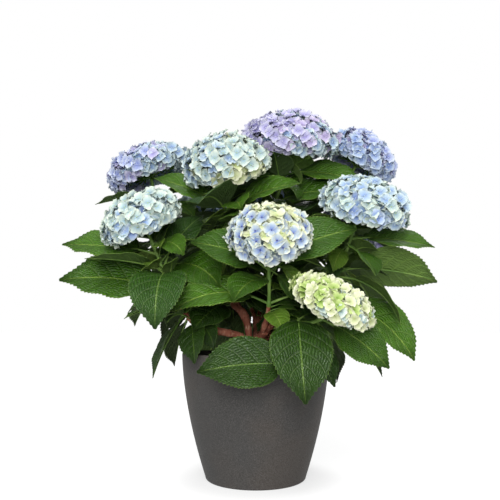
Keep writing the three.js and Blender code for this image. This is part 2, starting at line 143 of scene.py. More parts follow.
class Batch:
    """Gathers points, faces and map places, and turns them into one piece."""

    def __init__(self):
        self.points = []
        self.faces = []
        self.places = []
        self.count = 0

    def add(self, points, faces, places=None):
        """places holds, for each corner of each face, its place on the map."""
        self.points.append(points)
        self.faces += (faces + self.count).tolist()
        self.count += len(points)
        if places is not None:
            self.places.append(places.reshape(-1, 2))

    def piece(self, name, finish, slot, replaced=()):
        """One smooth-shaded mesh of all that was gathered, on the plant's only body."""
        mesh = bpy.data.meshes.new(name)
        mesh.from_pydata((np.concatenate(self.points) * MILLIMETRE).tolist(), [], self.faces)
        if self.places:
            flat = mesh.uv_layers.new(name=MAP_NAME)
            flat.data.foreach_set("uv", np.concatenate(self.places).ravel())
        mesh.polygons.foreach_set("use_smooth", np.ones(len(mesh.polygons), bool))
        mesh.materials.append(finish)
        made = bpy.data.objects.new(name, mesh)
        bpy.context.scene.collection.objects.link(made)
        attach(made, "root")
        if replaced:
            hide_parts(*replaced)
        triangles = sum(len(face) - 2 for face in self.faces)
        TRIANGLES.append(triangles)
        print(f"{name}: {triangles} triangles, {sum(TRIANGLES)} so far")


print("a grid of 3 by 3 points has", len(grid_faces(3, 3)), "faces")

# %% [markdown]
# Canes, stems and stalks are tubes. A curve object with a round bevel would draw them too, but a tube made
# here can have its own radius and its own relief at every ring, which bark and swollen joints need. Each ring
# takes its first direction from the ring before, so that the tube does not twist where it bends.

# %% Tubes
def tube_rings(points, radii, sides, relief=None):
    """The points of a tube round a line of points. relief scales the radius of each ring's points."""
    points = np.asarray(points, float)
    along = unit(np.gradient(points, axis=0))
    side = np.array([0.0, 1.0, 0.0]) if abs(along[0][1]) < 0.9 else np.array([1.0, 0.0, 0.0])
    angle = 2 * np.pi * np.arange(sides) / sides
    rings = []
    for i, way in enumerate(along):
        side = unit(side - way * side.dot(way))
        other = np.cross(way, side)
        radius = radii[i] * (np.ones(sides) if relief is None else relief[i])
        ring = side * (radius * np.cos(angle))[:, None] + other * (radius * np.sin(angle))[:, None]
        rings.append(points[i] + ring)
    return np.concatenate(rings)


def add_tube(batch, points, radii, sides, relief=None):
    """Adds a tube with a flat lid on both ends."""
    rings = tube_rings(points, radii, sides, relief)
    batch.add(rings, grid_faces(len(points), sides, wrapped=True))
    start = batch.count - len(rings)
    batch.faces.append((start + np.arange(sides)[::-1]).tolist())
    batch.faces.append((batch.count - sides + np.arange(sides)).tolist())


upright = [(0, 0, z) for z in range(5)]
print("a tube of 5 rings with 8 sides has", len(tube_rings(upright, np.ones(5), 8)), "points")

# %% [markdown]
# ## Finishes as sums
# A procedural material is a small calculation that is done again at every point of a surface. In Blender
# it is drawn as boxes joined by wires, which soon fills the screen. The class below lets the same boxes be
# written as Python sums: each wire is an object, and adding, subtracting, multiplying, dividing or raising
# it to a power adds the right Math node. Colours go through Mix nodes, because a Math node would turn them
# grey.

# %% A wire that can be calculated with
class Wire:
    """One output of a node. Sums on it add Math nodes to the same material."""

    def __init__(self, socket):
        self.socket = socket

    def node(self, kind, settings, sockets, output=0):
        """Any other node: its settings are made first, then the values or wires of its sockets."""
        tree = self.socket.id_data
        made = tree.nodes.new(kind)
        for name, value in settings.items():
            setattr(made, name, value)
        for name, value in sockets.items():
            if isinstance(value, Wire):
                tree.links.new(value.socket, made.inputs[name])
            else:
                made.inputs[name].default_value = value
        return Wire(made.outputs[output])

    def math(self, operation, first, second=0.0):
        return self.node("ShaderNodeMath", {"operation": operation}, {0: first, 1: second})

    def __add__(self, other):
        return self.math("ADD", self, other)

    def __sub__(self, other):
        return self.math("SUBTRACT", self, other)

    def __mul__(self, other):
        return self.math("MULTIPLY", self, other)

    def __truediv__(self, other):
        return self.math("DIVIDE", self, other)

    def __pow__(self, other):
        return self.math("POWER", self, other)

    def __radd__(self, other):
        return self.math("ADD", other, self)

    def __rsub__(self, other):
        return self.math("SUBTRACT", other, self)

    def __rmul__(self, other):
        return self.math("MULTIPLY", other, self)

    def __rtruediv__(self, other):
        return self.math("DIVIDE", other, self)

    def __rpow__(self, other):
        return self.math("POWER", other, self)

    def __abs__(self):
        return self.math("ABSOLUTE", self)

    def above(self, limit):
        return self.math("GREATER_THAN", self, limit)

    def fraction(self):
        return self.math("FRACT", self)

    def smallest(self, other):
        return self.math("MINIMUM", self, other)

    def ramp(self, low, high):
        """0 below low, 1 above high, and a smooth rise between."""
        settings = {"interpolation_type": "SMOOTHSTEP"}
        return self.node("ShaderNodeMapRange", settings, {"Value": self, "From Min": low, "From Max": high})

    def blend(self, first, second):
        """The first colour where this wire is 0, and the second where it is 1."""
        settings = {"data_type": "RGBA"}
        return self.node("ShaderNodeMix", settings, {0: self, 6: first, 7: second}, output=2)

    def part(self, axis):
        """One of the three numbers of a place: 0, 1 or 2."""
        return self.node("ShaderNodeSeparateXYZ", {}, {0: self}, output=axis)

    def place(self, x, y, z=0.0):
        return self.node("ShaderNodeCombineXYZ", {}, {0: x, 1: y, 2: z})

    def stretched(self, x, y, z):
        """A place with each of its three numbers multiplied by its own amount."""
        return self.node("ShaderNodeVectorMath", {"operation": "MULTIPLY"}, {0: self, 1: (x, y, z)})

    def cloud(self, scale, detail=2.0):
        """Soft random patches from 0 to 1 over the places on this wire."""
        return self.node("ShaderNodeTexNoise", {}, {"Vector": self, "Scale": scale, "Detail": detail})

    def cells(self, scale):
        """The distance to the nearest edge of a network of random cells."""
        settings = {"feature": "DISTANCE_TO_EDGE"}
        return self.node("ShaderNodeTexVoronoi", settings, {"Vector": self, "Scale": scale})


print("sums that a wire understands:", "+ - * / ** abs()")

# %% [markdown]
# Every finish starts from Blender's Principled shader. Its fixed values, such as how strongly it mirrors,
# are set straight on its sockets, and only what changes over the surface is wired. Patterns need a place to
# be drawn at: pieces with a flat map use that, and the others use the plant's own space, so that no pattern
# slides when the plant is moved.

# %% Start a finish
def colour(code):
    """A colour as Blender counts it, from the six hexadecimal digits used on screens."""
    parts = [int(code[i : i + 2], 16) / 255 for i in (0, 2, 4)]
    return (*[c / 12.92 if c <= 0.04045 else ((c + 0.055) / 1.055) ** 2.4 for c in parts], 1.0)


def grey(level):
    return (level, level, level, 1.0)


def new_finish(name, constants):
    """A material with fixed values on its shader, and the shader to wire the rest to."""
    finish = bpy.data.materials.new(name)
    finish.use_nodes = True
    shader = finish.node_tree.nodes["Principled BSDF"]
    for socket, value in constants.items():
        shader.inputs[socket].default_value = value
    return finish, shader


def map_place(finish):
    """The place on a piece's flat map."""
    node = finish.node_tree.nodes.new("ShaderNodeUVMap")
    node.uv_map = MAP_NAME
    return Wire(node.outputs[0])


def plant_place(finish):
    """The place in the plant's own space, in metres."""
    return Wire(finish.node_tree.nodes.new("ShaderNodeTexCoord").outputs["Object"])


def wire_up(shader, base=None, roughness=None, height=None, depth=0.001, glow=None):
    """Joins a colour, a roughness, a height in metres and the colour of a glow to a shader."""
    tree = shader.id_data
    if glow is not None:
        tree.links.new(glow.socket, shader.inputs["Emission Color"])
    if base is not None:
        tree.links.new(base.socket, shader.inputs["Base Color"])
    if roughness is not None:
        tree.links.new(roughness.socket, shader.inputs["Roughness"])
    if height is not None:
        bump = height.node("ShaderNodeBump", {}, {"Strength": 1.0, "Distance": depth, "Height": height})
        tree.links.new(bump.socket, shader.inputs["Normal"])


print("leaf green as Blender counts it:", [round(c, 3) for c in colour("3d6a2c")])

# %% [markdown]
# ## The plant's measures
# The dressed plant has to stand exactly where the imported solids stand, so it is grown from the same
# measures by the same rule: a crown on the compost, five canes, and eleven shoots, each with its flower
# head. Lists of points would be quicker to copy and impossible to read. The rule is a dozen short lines for
# each kind of piece, and it can be carried further here, to finer leaves and more flowers.

# %% Measures of the pot, the crown and the canes
POT = {"height": 190, "rim": 115, "base": 76, "bulge": 1.66, "wall": 4, "floor": 6, "foot_round": 4}
COMPOST = {"top": 166, "dome": 4}
GAP = 0.3
CROWN = {"x": -3, "y": -8, "height": 28, "foot": 24, "top": 15, "lean": (1, -2)}
CANE = {"foot": 4.4, "tip": 6.6, "ring": 9.4}
CANE_TIPS = {
    "right": (72, -8, 238),
    "back": (4, 56, 230),
    "middle": (-24, 0, 256),
    "left": (-92, -40, 236),
    "front": (14, -48, 224),
}
STEM = {"foot": 2.9, "tip": 2.4, "ring": 3.6}
print("canes:", ", ".join(CANE_TIPS))

# %% [markdown]
# A shoot is one green stem with its leaves and one flower head. On the real shrub each head turns its face
# to the light, outwards and up, so a head is given by its middle and by the way it leans. The stem's curve
# follows from that, and needs no measures of its own.

# %% Measures of the shoots
# Each shoot: its cane, the middle of its flower head, where the head's face leans to and how far from
# upright, the head's radius and rise, and the heading of its top pair of leaves.
SHOOT_FACTS = {
    "front": ("front", (18, -130, 364), 270, 40, 64, 44, 180),
    "low": ("front", (106, -150, 270), 300, 48, 60, 42, 300),
    "left": ("left", (-173, -70, 394), 215, 28, 66, 46, 165),
    "right": ("right", (161, -60, 419), 300, 26, 72, 46, 355),
    "centre": ("middle", (-50, -30, 486), 250, 24, 70, 56, 340),
    "top": ("middle", (54, 50, 548), 275, 12, 84, 57, 325),
    "far_right": ("right", (188, 90, 526), 350, 34, 67, 50, 310),
    "far_left": ("left", (-188, 60, 494), 190, 22, 74, 46, 190),
    "back_left": ("back", (-104, 165, 428), 120, 30, 68, 48, 150),
    "back": ("back", (44, 196, 440), 80, 28, 74, 52, 50),
    "back_right": ("back", (182, 160, 404), 30, 34, 66, 46, 20),
}
FACT_NAMES = ("cane", "head", "lean_to", "lean", "radius", "rise", "first_pair")
SHOOTS = {name: dict(zip(FACT_NAMES, facts)) for name, facts in SHOOT_FACTS.items()}
SHOOT_NAMES = list(SHOOTS)
HEAD = {"under": 0.5, "stalk": 12}
print("shoots:", ", ".join(SHOOT_NAMES))

# %% [markdown]
# Hydrangea leaves stand in pairs, each pair turned a quarter turn from the one above, and that rule places
# most of them. A few large leaves at the front have grown away from it, as they do on a real plant, so they
# have their own numbers: how far down the stem, which way they head, how they lift and droop, their length,
# and the way that their face turns.

# %% Measures of the leaves
PAIRS = {
    "first": 10,
    "spacing": 40,
    "sizes": (0.82, 0.98, 1.06, 1.06, 1, 0.92),
    "lifts": (8, 20, 12, 2, -8, -18),
    "least": 12,
}
LEAF = {"length": 122, "stalk": 0.24, "half_width": 0.34, "fold": 0.22, "solid_thickness": 2}
# Leaves that grew away from the rule, by shoot, pair and twin.
OWN_LEAVES = {
    "front 0a": dict(down=30, heading=192, lift=26, droop=24, length=98, face_to=262, facing=1.4),
    "front 0b": dict(down=22, heading=343, lift=14, droop=20, length=120, face_to=262, facing=1.5),
    "front 1a": dict(heading=234, lift=-4, droop=44, length=80, face_to=262, facing=0.9),
    "front 3b": dict(down=95, heading=290, lift=-8, droop=55, length=52, face_to=270, facing=1.2),
    "low 0a": dict(
        down=52,
        heading=268,
        lift=-40,
        droop=44,
        length=122,
        stalk_lift=5,
        face_to=268,
        facing=3,
    ),
    "low 0b": dict(heading=345, lift=-28, droop=18, length=92, stalk_lift=-24, face_to=282, facing=2.6),
    "low 1a": dict(
        heading=187,
        lift=3,
        droop=18,
        length=118,
        stalk_heading=244,
        stalk_lift=-52,
        stalk=70,
        face_to=268,
        facing=1.5,
    ),
    "low 1b": dict(heading=38, lift=22, droop=40, length=86, face_to=290, facing=0.8),
    "left 0a": dict(down=26, heading=174, lift=8, droop=10, length=124, face_to=262, facing=0.7),
    "left 1a": dict(heading=212, lift=10, droop=16, length=98, face_to=250, facing=0),
    "left 1b": dict(heading=40, lift=62, droop=30, length=98, face_to=250, facing=1.4),
    "left 2a": dict(
        down=66,
        heading=268,
        lift=-10,
        droop=74,
        length=118,
        stalk_lift=12,
        face_to=265,
        facing=0.8,
    ),
    "left 0b": dict(down=14, heading=100, lift=14, droop=40, length=96, face_to=200, facing=0.3),
    "left 2b": dict(down=93, heading=187, lift=16, droop=22, length=140, face_to=262, facing=1.1),
    "top 0a": dict(down=16, heading=350, lift=0, droop=26, length=112, face_to=280, facing=0.9),
    "top 0b": dict(down=20, heading=203, lift=4, droop=24, length=100, face_to=270, facing=1.2),
    "top 1a": dict(down=44, heading=30, lift=32, droop=26, length=116, face_to=250, facing=0.7),
    "top 1b": dict(down=48, heading=125, lift=24, droop=30, length=112, face_to=270, facing=0.7),
    "top 2a": dict(down=74, heading=322, lift=16, droop=34, length=108, face_to=280, facing=1.1),
    "far_right 0a": dict(down=14, heading=195, lift=2, droop=30, length=96, face_to=270, facing=0.9),
    "far_right 0b": dict(down=18, heading=300, lift=-4, droop=40, length=92, face_to=290, facing=0.6),
    "far_left 0a": dict(heading=190, lift=-4, droop=16, length=84, face_to=200, facing=0.2),
    "far_left 2b": dict(heading=150, lift=6, droop=50, length=116),
    "far_left 4a": dict(heading=130, lift=-6, droop=50, length=112),
    "far_left 5a": dict(down=250, heading=232, lift=-46, droop=24, length=94, face_to=190, facing=1.2),
    "right 0a": dict(down=25, heading=354, lift=-2, droop=14, length=104, face_to=290, facing=0.8),
    "right 1a": dict(down=76, heading=355, lift=-2, droop=16, length=124, face_to=290, facing=-0.9),
    "right 3a": dict(
        down=128,
        heading=345,
        lift=-22,
        droop=42,
        length=124,
        stalk=50,
        face_to=290,
        facing=1.2,
    ),
    "centre 0a": dict(down=36, heading=340, lift=26, droop=24, length=104, face_to=270, facing=0.8),
    "centre 0b": dict(down=36, heading=197, lift=30, droop=20, length=108, face_to=270, facing=0.8),
    "centre 3a": dict(down=138, heading=230, lift=-18, droop=34, length=106, face_to=250, facing=1.2),
    "centre 5a": dict(down=186, heading=222, lift=-30, droop=20, length=96, face_to=262, facing=2.4),
    "centre 5b": dict(heading=130, lift=-6, droop=40, length=88),
}
# What a leaf tries in turn when its place is taken: turn, change of lift, and share of its length.
NUDGES = (
    (0, 0, 1),
    (0, 12, 1),
    (0, -12, 1),
    (14, 0, 1),
    (-14, 0, 1),
    (14, 14, 0.92),
    (-14, 14, 0.92),
    (28, 0, 0.9),
    (-28, 0, 0.9),
    (0, -28, 0.85),
    (0, 30, 0.8),
    (24, -24, 0.75),
    (-24, -24, 0.75),
    (40, 10, 0.65),
    (-40, 10, 0.65),
)
print("leaves with a place of their own:", len(OWN_LEAVES))

# %% [markdown]
# ## Curves of the canes and stems
# Canes and stems bend, so each follows a cubic Bezier curve: two ends, and two handles that say which way
# the curve leaves one end and comes into the other. Blender has curve objects for this, but the leaves need
# to know where on a stem they stand, and plain numbers make that easy.

# %% Routes
class Route:
    """A cubic Bezier curve through space, in millimetres."""

    def __init__(self, *handles):
        self.handles = np.array(handles, float)
        walked = np.linalg.norm(np.diff(self.point(np.linspace(0, 1, 201)), axis=0), axis=1)
        self.walked = np.concatenate([[0], np.cumsum(walked)])
        self.length = self.walked[-1]

    def point(self, share):
        t = np.asarray(share, float)[..., None]
        a, b, c, d = self.handles
        return (1 - t) ** 3 * a + 3 * (1 - t) ** 2 * t * b + 3 * (1 - t) * t**2 * c + t**3 * d

    def along(self, share):
        step = 1e-4
        return unit(self.point(min(share + step, 1)) - self.point(max(share - step, 0)))

    def share_at(self, distance):
        """The share of the curve that lies within a distance of its start."""
        return np.interp(distance, self.walked, np.linspace(0, 1, 201))


straight = Route((0, 0, 0), (0, 0, 1), (0, 0, 2), (0, 0, 3))
print("the middle of a straight route:", straight.point(0.5))

# %% [markdown]
# A real cane rises straight out of the crown and then bends outwards to the light, and the green stems go on
# from its tip, side by side. So a cane's handles pull it up at its foot, and a stem's handles pull it along
# the cane at its foot and along the head's axis at its tip.

# %% Routes of the canes and stems
CROWN_FOOT = np.array([CROWN["x"], CROWN["y"], COMPOST["top"] + COMPOST["dome"] + GAP])
CROWN_TOP = CROWN_FOOT + np.array([*CROWN["lean"], CROWN["height"]])


def cane_route(name):
    """A cane rises straight off its place on the crown, and turns outwards and up to its fork."""
    tip = np.array(CANE_TIPS[name], float)
    place = 360 / len(CANE_TIPS) * list(CANE_TIPS).index(name)
    foot = CROWN_TOP + direction(place, 0) * CANE["ring"] + UP * GAP
    reach = np.linalg.norm(tip - foot)
    out = unit((tip - foot) * (1, 1, 0))
    neck = tip - out * reach * 0.22 - UP * reach * 0.2
    return Route(foot, foot + UP * reach * 0.3, neck, tip)


CANES = {name: cane_route(name) for name in CANE_TIPS}


def head_axis(shoot):
    return direction(shoot["lean_to"], 90 - shoot["lean"])


def stem_route(shoot):
    """Stems that share a cane stand round its tip in the order of their headings."""
    cane = CANES[shoot["cane"]]
    fork = cane.point(1)
    along = cane.along(1)

    def heading_of(mate):
        x, y, _ = np.array(mate["head"]) - fork
        return np.arctan2(y, x) % (2 * np.pi)

    mates = sorted([s for s in SHOOTS.values() if s["cane"] == shoot["cane"]], key=heading_of)
    middle = sum(map(heading_of, mates)) / len(mates)
    place = middle + (mates.index(shoot) - (len(mates) - 1) / 2) * 2 * np.pi / len(mates)
    aside = direction(np.degrees(place), 0)
    aside = unit(aside - along * aside.dot(along))
    foot = fork + along * GAP + aside * STEM["ring"]
    axis = head_axis(shoot)
    tip = np.array(shoot["head"]) - axis * (shoot["rise"] * HEAD["under"] + HEAD["stalk"] + GAP)
    reach = np.linalg.norm(tip - foot)
    return Route(foot, foot + along * reach * 0.35, tip - axis * reach * 0.35, tip)


STEMS = {name: stem_route(shoot) for name, shoot in SHOOTS.items()}
print("stem lengths in mm:", {name: round(route.length) for name, route in STEMS.items()})

# %% [markdown]
# ## Camera, floor and light
# The camera stands a little above the rim of the pot, about a metre away, and looks slightly up, as someone
# does who kneels in front of the plant. A longer lens from farther off would flatten the bush, and a wider
# one from nearer would swell the front heads.

# %% Camera
CAMERA = {"place": (-8.64, -960, 236), "looks_up": 6.94, "lens": 43.2, "sensor": 36}

camera_data = bpy.data.cameras.new("camera")
camera_data.lens = CAMERA["lens"]
camera_data.sensor_width = CAMERA["sensor"]
camera = bpy.data.objects.new("camera", camera_data)
camera.location = np.array(CAMERA["place"]) * MILLIMETRE
camera.rotation_euler = (np.radians(90 + CAMERA["looks_up"]), 0, 0)
bpy.context.scene.collection.objects.link(camera)
bpy.context.scene.camera = camera
bpy.context.scene.view_settings.view_transform = "Standard"
print("camera at", tuple(camera.location))

# %% [markdown]
# The floor is a plain white disc. To look as white as a studio's paper it glows, like a light table. A glow
# also lights the plant from below and makes it look flat, so the disc glows fully only where it is seen and
# less towards the plant. Next to the pot it glows less too, so that the faint shadow at the pot's foot shows.
# A very bright lamp on plain paper would give the same white, but it would burn out the flowers as well.

# %% Floor
FLOOR_RADIUS = 14000
FLOOR_GLOW = {"seen": 0.82, "seen_by_the_pot": 0.66, "towards_the_plant": 0.4}
BY_THE_POT = (0.085, 0.15)  # the glow grows between these distances from the pot's middle, in metres


def floor_finish():
    constants = {"Roughness": 0.9, "Specular IOR Level": 0.1, "Emission Strength": 1.0}
    finish, shader = new_finish("pale floor", constants)
    place = plant_place(finish)
    tone = place.cloud(3.0).blend(colour("929292"), colour("979797"))
    away = (place.part(0) * place.part(0) + place.part(1) * place.part(1)) ** 0.5
    seen = away.ramp(*BY_THE_POT).blend(grey(FLOOR_GLOW["seen_by_the_pot"]), grey(FLOOR_GLOW["seen"]))
    is_seen = Wire(finish.node_tree.nodes.new("ShaderNodeLightPath").outputs["Is Camera Ray"])
    wire_up(shader, base=tone, glow=is_seen.blend(grey(FLOOR_GLOW["towards_the_plant"]), seen))
    return finish


def make_floor():
    sides = 96
    angle = 2 * np.pi * np.arange(sides) / sides
    rim = np.stack([np.cos(angle), np.sin(angle), 0 * angle], -1) * FLOOR_RADIUS * MILLIMETRE
    mesh = bpy.data.meshes.new("floor")
    mesh.from_pydata(rim.tolist(), [], [list(range(sides))])
    mesh.materials.append(floor_finish())
    floor = bpy.data.objects.new("floor", mesh)
    bpy.context.scene.collection.objects.link(floor)
    floor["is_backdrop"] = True


make_floor()
print("floor radius in mm:", FLOOR_RADIUS)

# %% [markdown]
# The light is soft, as in a studio: a wide sun from above and in front, a large lamp a little above and
# behind the camera, a larger one high behind the plant, and a room that is bright to look at but lights the
# plant only weakly. A fully bright room would be simpler, but it would fill every gap between the leaves
# with light.

# %% Light
LIT_POINT = Vector((0, 0, 0.33))
SUN = {"place": (-200, -1150, 1600), "strength": 1.9, "spread": 40}
LAMPS = {
    # name: place in mm, width in mm, power in watts
    "front": ((-60, -1500, 600), 700, 13),
    "back": ((300, 1500, 1500), 1200, 12),
}
ROOM = {"seen": 1.0, "light": 0.3}


def aim(lamp, place):
    """Stands a lamp at a place in mm and turns it to the plant."""
    lamp.location = np.array(place) * MILLIMETRE
    lamp.rotation_euler = (LIT_POINT - lamp.location).to_track_quat("-Z", "Y").to_euler()
    bpy.context.scene.collection.objects.link(lamp)


sun = bpy.data.lights.new("sun", "SUN")
sun.energy = SUN["strength"]
sun.angle = np.radians(SUN["spread"])
aim(bpy.data.objects.new("sun", sun), SUN["place"])
for name, (place, width, power) in LAMPS.items():
    lamp = bpy.data.lights.new(name, "AREA")
    lamp.shape = "DISK"
    lamp.size = width * MILLIMETRE
    lamp.energy = power
    aim(bpy.data.objects.new(name, lamp), place)

room = bpy.data.worlds.new("room")
room.use_nodes = True
background = room.node_tree.nodes["Background"]
background.inputs["Color"].default_value = grey(1.0)
is_seen = Wire(room.node_tree.nodes.new("ShaderNodeLightPath").outputs["Is Camera Ray"])
strength = is_seen * (ROOM["seen"] - ROOM["light"]) + ROOM["light"]
room.node_tree.links.new(strength.socket, background.inputs["Strength"])
bpy.context.scene.world = room
print("lamps: sun,", ", ".join(LAMPS))

# %% [markdown]
# ## The pot
# The pot is thin grey plastic with slightly bulged sides, a rounded lip and a flat underside. It could be
# drawn as a curve with a Screw modifier. Here its outline is turned in code, because the same formula
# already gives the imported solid, so the two agree to a fraction of a millimetre.

# %% Shape of the pot
POT_SIDES = 144
LIP = 2  # how high the rounded lip rises over the sides, in mm
FLAT = 40.0  # radius of the middle of the underside and of the floor inside, in mm
MIDDLE = 0.5  # radius at which an outline that reaches the axis stops, in mm; a lid closes it


def pot_radius(z):
    return POT["rim"] - (POT["rim"] - POT["base"]) * (1 - z / POT["height"]) ** POT["bulge"]


def pot_outline():
    """Radius and height from the middle of the underside, up the outside, over the rim and down inside."""
    foot = POT["foot_round"]
    corner = [(a, 1 - np.cos(a)) for a in np.radians([0, 22, 45, 68, 90])]
    low = [(pot_radius(foot) - foot + foot * np.sin(a), foot * rise) for a, rise in corner]
    top = POT["height"] - LIP
    outer = [(pot_radius(z), z) for z in np.linspace(foot, top, 30)[1:]]
    half = POT["wall"] / 2
    over = np.radians([15, 40, 65, 90, 115, 140, 165])
    rim = [(POT["rim"] - half + half * np.cos(a), top + LIP * np.sin(a)) for a in over]
    inner = [(pot_radius(z) - POT["wall"], z) for z in np.linspace(top, POT["floor"], 16)]
    underside = [(MIDDLE, 0.0), (FLAT, 0.0)]
    floor = [(FLAT, POT["floor"]), (MIDDLE, POT["floor"])]
    return underside + low + outer + rim + inner + floor


def turned(outline, sides):
    """The points of an outline turned round the plant's upright axis."""
    angle = 2 * np.pi * np.arange(sides) / sides
    rings = [(r * np.cos(angle), r * np.sin(angle), np.full(sides, z)) for r, z in outline]
    return np.stack([np.stack(ring, -1) for ring in rings])


print("points round the pot:", POT_SIDES, "points in its outline:", len(pot_outline()))

# %% [markdown]
# The plastic is made to look like fine stone: dark grey, with tiny lighter and darker specks and a satin
# face. A flat grey would look like a drawing, and a picture of stone would show its edges where it meets
# itself, so two noises are used: a fine one for the specks and a wide one for a slow change of tone.

# %% Finish of the pot
def pot_finish():
    finish, shader = new_finish("speckled grey plastic", {"Specular IOR Level": 0.16})
    place = plant_place(finish)
    specks = place.cloud(1500.0, 1.0)
    patches = place.cloud(9.0, 2.0)
    stone = patches.ramp(0.4, 0.65).blend(colour("434241"), colour("4b4642"))
    dusted = specks.ramp(0.5, 0.75).blend(stone, colour("63615e"))
    flecked = (1 - specks).ramp(0.52, 0.75).blend(dusted, colour("292828"))
    wire_up(shader, flecked, 0.42 + specks * 0.12, specks, 0.0002)
    return finish


pot = Batch()
pot_shell = turned(pot_outline(), POT_SIDES)
pot.add(pot_shell.reshape(-1, 3), grid_faces(len(pot_shell), POT_SIDES, wrapped=True))
pot.faces.append(np.arange(POT_SIDES)[::-1].tolist())
pot.faces.append((pot.count - POT_SIDES + np.arange(POT_SIDES)).tolist())
pot.piece("pot_shell", pot_finish(), "pot", ["pot"])

# %% [markdown]
# ## The compost
# Potting compost is crumbs and short fibres of peat and bark. A flat disc with a bump texture looks like
# felt from close by, so the surface is a lumpy grid with several hundred crumbs half sunk in it. The lumps
# are sums of waves, which is cheaper than a noise and just as uneven when there are seven of them.

# %% Height of the compost
def soft_hills(x, y, size, seed):
    """A cheap smooth random height: waves in several directions."""
    total = 0 * x
    for k in range(7):
        way = 2 * np.pi * chance(seed, k, 1)
        phase = 2 * np.pi * chance(seed, k, 2)
        wave = 2 * np.pi / (size * between(0.6, 1.7, seed, k, 3))
        total = total + np.sin((x * np.cos(way) + y * np.sin(way)) * wave + phase)
    return total / 7


def compost_height(x, y):
    edge = pot_radius(COMPOST["top"]) - POT["wall"]
    dome = COMPOST["dome"] * (1 - ramp(0.55, 1.0, np.hypot(x, y) / edge))
    return COMPOST["top"] + dome + 2.2 * soft_hills(x, y, 26, 5) + 0.8 * soft_hills(x, y, 8, 6)


print("height of the compost in the middle in mm:", round(float(compost_height(0.0, 0.0)), 1))

# %% [markdown]
# One crumb is a small lump with six sides. Every other crumb is a turned and stretched copy of it, so the
# whole surface costs little. A particle system could strew them too, but its crumbs would not be part of the
# mesh.

# %% Compost with its crumbs
CRUMBS = 620
CRUMB_SIDES = 6
CRUMB_RINGS = [(0.5, -0.8), (1.0, -0.1), (0.85, 0.5), (0.35, 0.9)]  # radius and height of each
COMPOST_GRID = {"rings": 40, "sides": 96}


def crumb_shape():
    """The lump that each crumb is a copy of. Its rings are turned a little against each other."""
    angle = 2 * np.pi * np.arange(CRUMB_SIDES) / CRUMB_SIDES
    rings = [(r * np.cos(angle + z), r * np.sin(angle + z), 0 * angle + z) for r, z in CRUMB_RINGS]
    return np.concatenate([np.stack(ring, -1) for ring in rings])


def compost_finish():
    finish, shader = new_finish("crumbly compost", {"Specular IOR Level": 0.15})
    place = plant_place(finish)
    grain = place.cloud(260.0, 4.0)
    brown = grain.ramp(0.3, 0.7).blend(colour("1c1510"), colour("4a3728"))
    wire_up(shader, brown, 0.85 + grain * 0.12, grain, 0.0012)
    return finish


def make_compost():
    compost = Batch()
    edge = pot_radius(COMPOST["top"]) - POT["wall"] - GAP
    sides = COMPOST_GRID["sides"]
    away = np.concatenate([[MIDDLE], np.linspace(2, edge, COMPOST_GRID["rings"])])
    rings = [(r, 0) for r in away]
    disc = turned(rings, sides).reshape(-1, 3)
    disc[:, 2] = compost_height(disc[:, 0], disc[:, 1])
    compost.add(disc, grid_faces(len(rings), sides, wrapped=True))
    compost.faces.append(np.arange(sides).tolist())
    lump = crumb_shape()
    lump_faces = grid_faces(len(CRUMB_RINGS), CRUMB_SIDES, wrapped=True)
    lid = np.arange(CRUMB_SIDES)
    for k in range(CRUMBS):
        away = edge * 0.96 * np.sqrt(chance(k, 11))
        around = 2 * np.pi * chance(k, 12)
        size = between(0.9, 3.2, k, 13) * between(0.6, 1.0, k, 14)
        turn = 2 * np.pi * chance(k, 15)
        stretch = np.array([size * between(1, 2.1, k, 16), size, size * between(0.5, 0.9, k, 17)])
        x, y, z = (lump * stretch).T
        spun = np.stack([x * np.cos(turn) - y * np.sin(turn), x * np.sin(turn) + y * np.cos(turn), z], -1)
        at = np.array([away * np.cos(around), away * np.sin(around)])
        compost.add(spun + [*at, compost_height(*at) + size * 0.15], lump_faces)
        compost.faces.append((compost.count - len(lump) + lid[::-1]).tolist())
        compost.faces.append((compost.count - CRUMB_SIDES + lid).tolist())
    compost.piece("compost_surface", compost_finish(), "compost", ["compost"])


make_compost()

# %% [markdown]
# ## Crown and canes
# Old hydrangea wood is red-brown and peels in thin upright strips, with a ring wherever a pair of leaves
# once stood. The relief is in the mesh, as ridges that run up each cane and swellings at the rings. Bump in
# the material alone would leave the outline of a cane as smooth as a pipe.

# %% Relief of the bark
RING_SPACING = 19


def bark_relief(distance, sides, seed):
    """How far each point of each ring stands out: ridges, flakes and swellings."""
    angle = 2 * np.pi * np.arange(sides) / sides
    d, a = np.meshgrid(distance, angle, indexing="ij")
    ridges = 0.05 * np.sin(5 * a + 0.05 * d + 6 * chance(seed, 1))
    flakes = 0.05 * np.sin(11 * a - 0.09 * d + 2 * np.sin(0.21 * d + 6 * chance(seed, 2)))
    to_ring = np.abs((d + 4 * chance(seed, 3)) % RING_SPACING - RING_SPACING / 2)
    swelling = 0.16 * np.exp(-((to_ring / 1.6) ** 2))
    return 1 + ridges + flakes + swelling


highest_ridge = float(bark_relief(np.arange(60.0), 22, 20).max()) - 1
print("the bark stands out by a share of up to", round(highest_ridge, 2))

# %% [markdown]
# The colour of the strips comes from a noise that is squeezed along the height, so that it runs with the
# wood: light where a strip has peeled, and dark as painted shade in the furrows where the bump sinks between
# two strips. The same noise raises the strips in the bump. A picture of bark would do as well, but it would
# have to be wrapped round every bend.

# %% Finish of the bark
# peeled is the light tone of peeled strips; shaded is painted shade for the furrows between them.
BARK_TONES = {"wood": ("8a4f3c", "a76853"), "peeled": "c9a288", "shaded": "4c241b"}


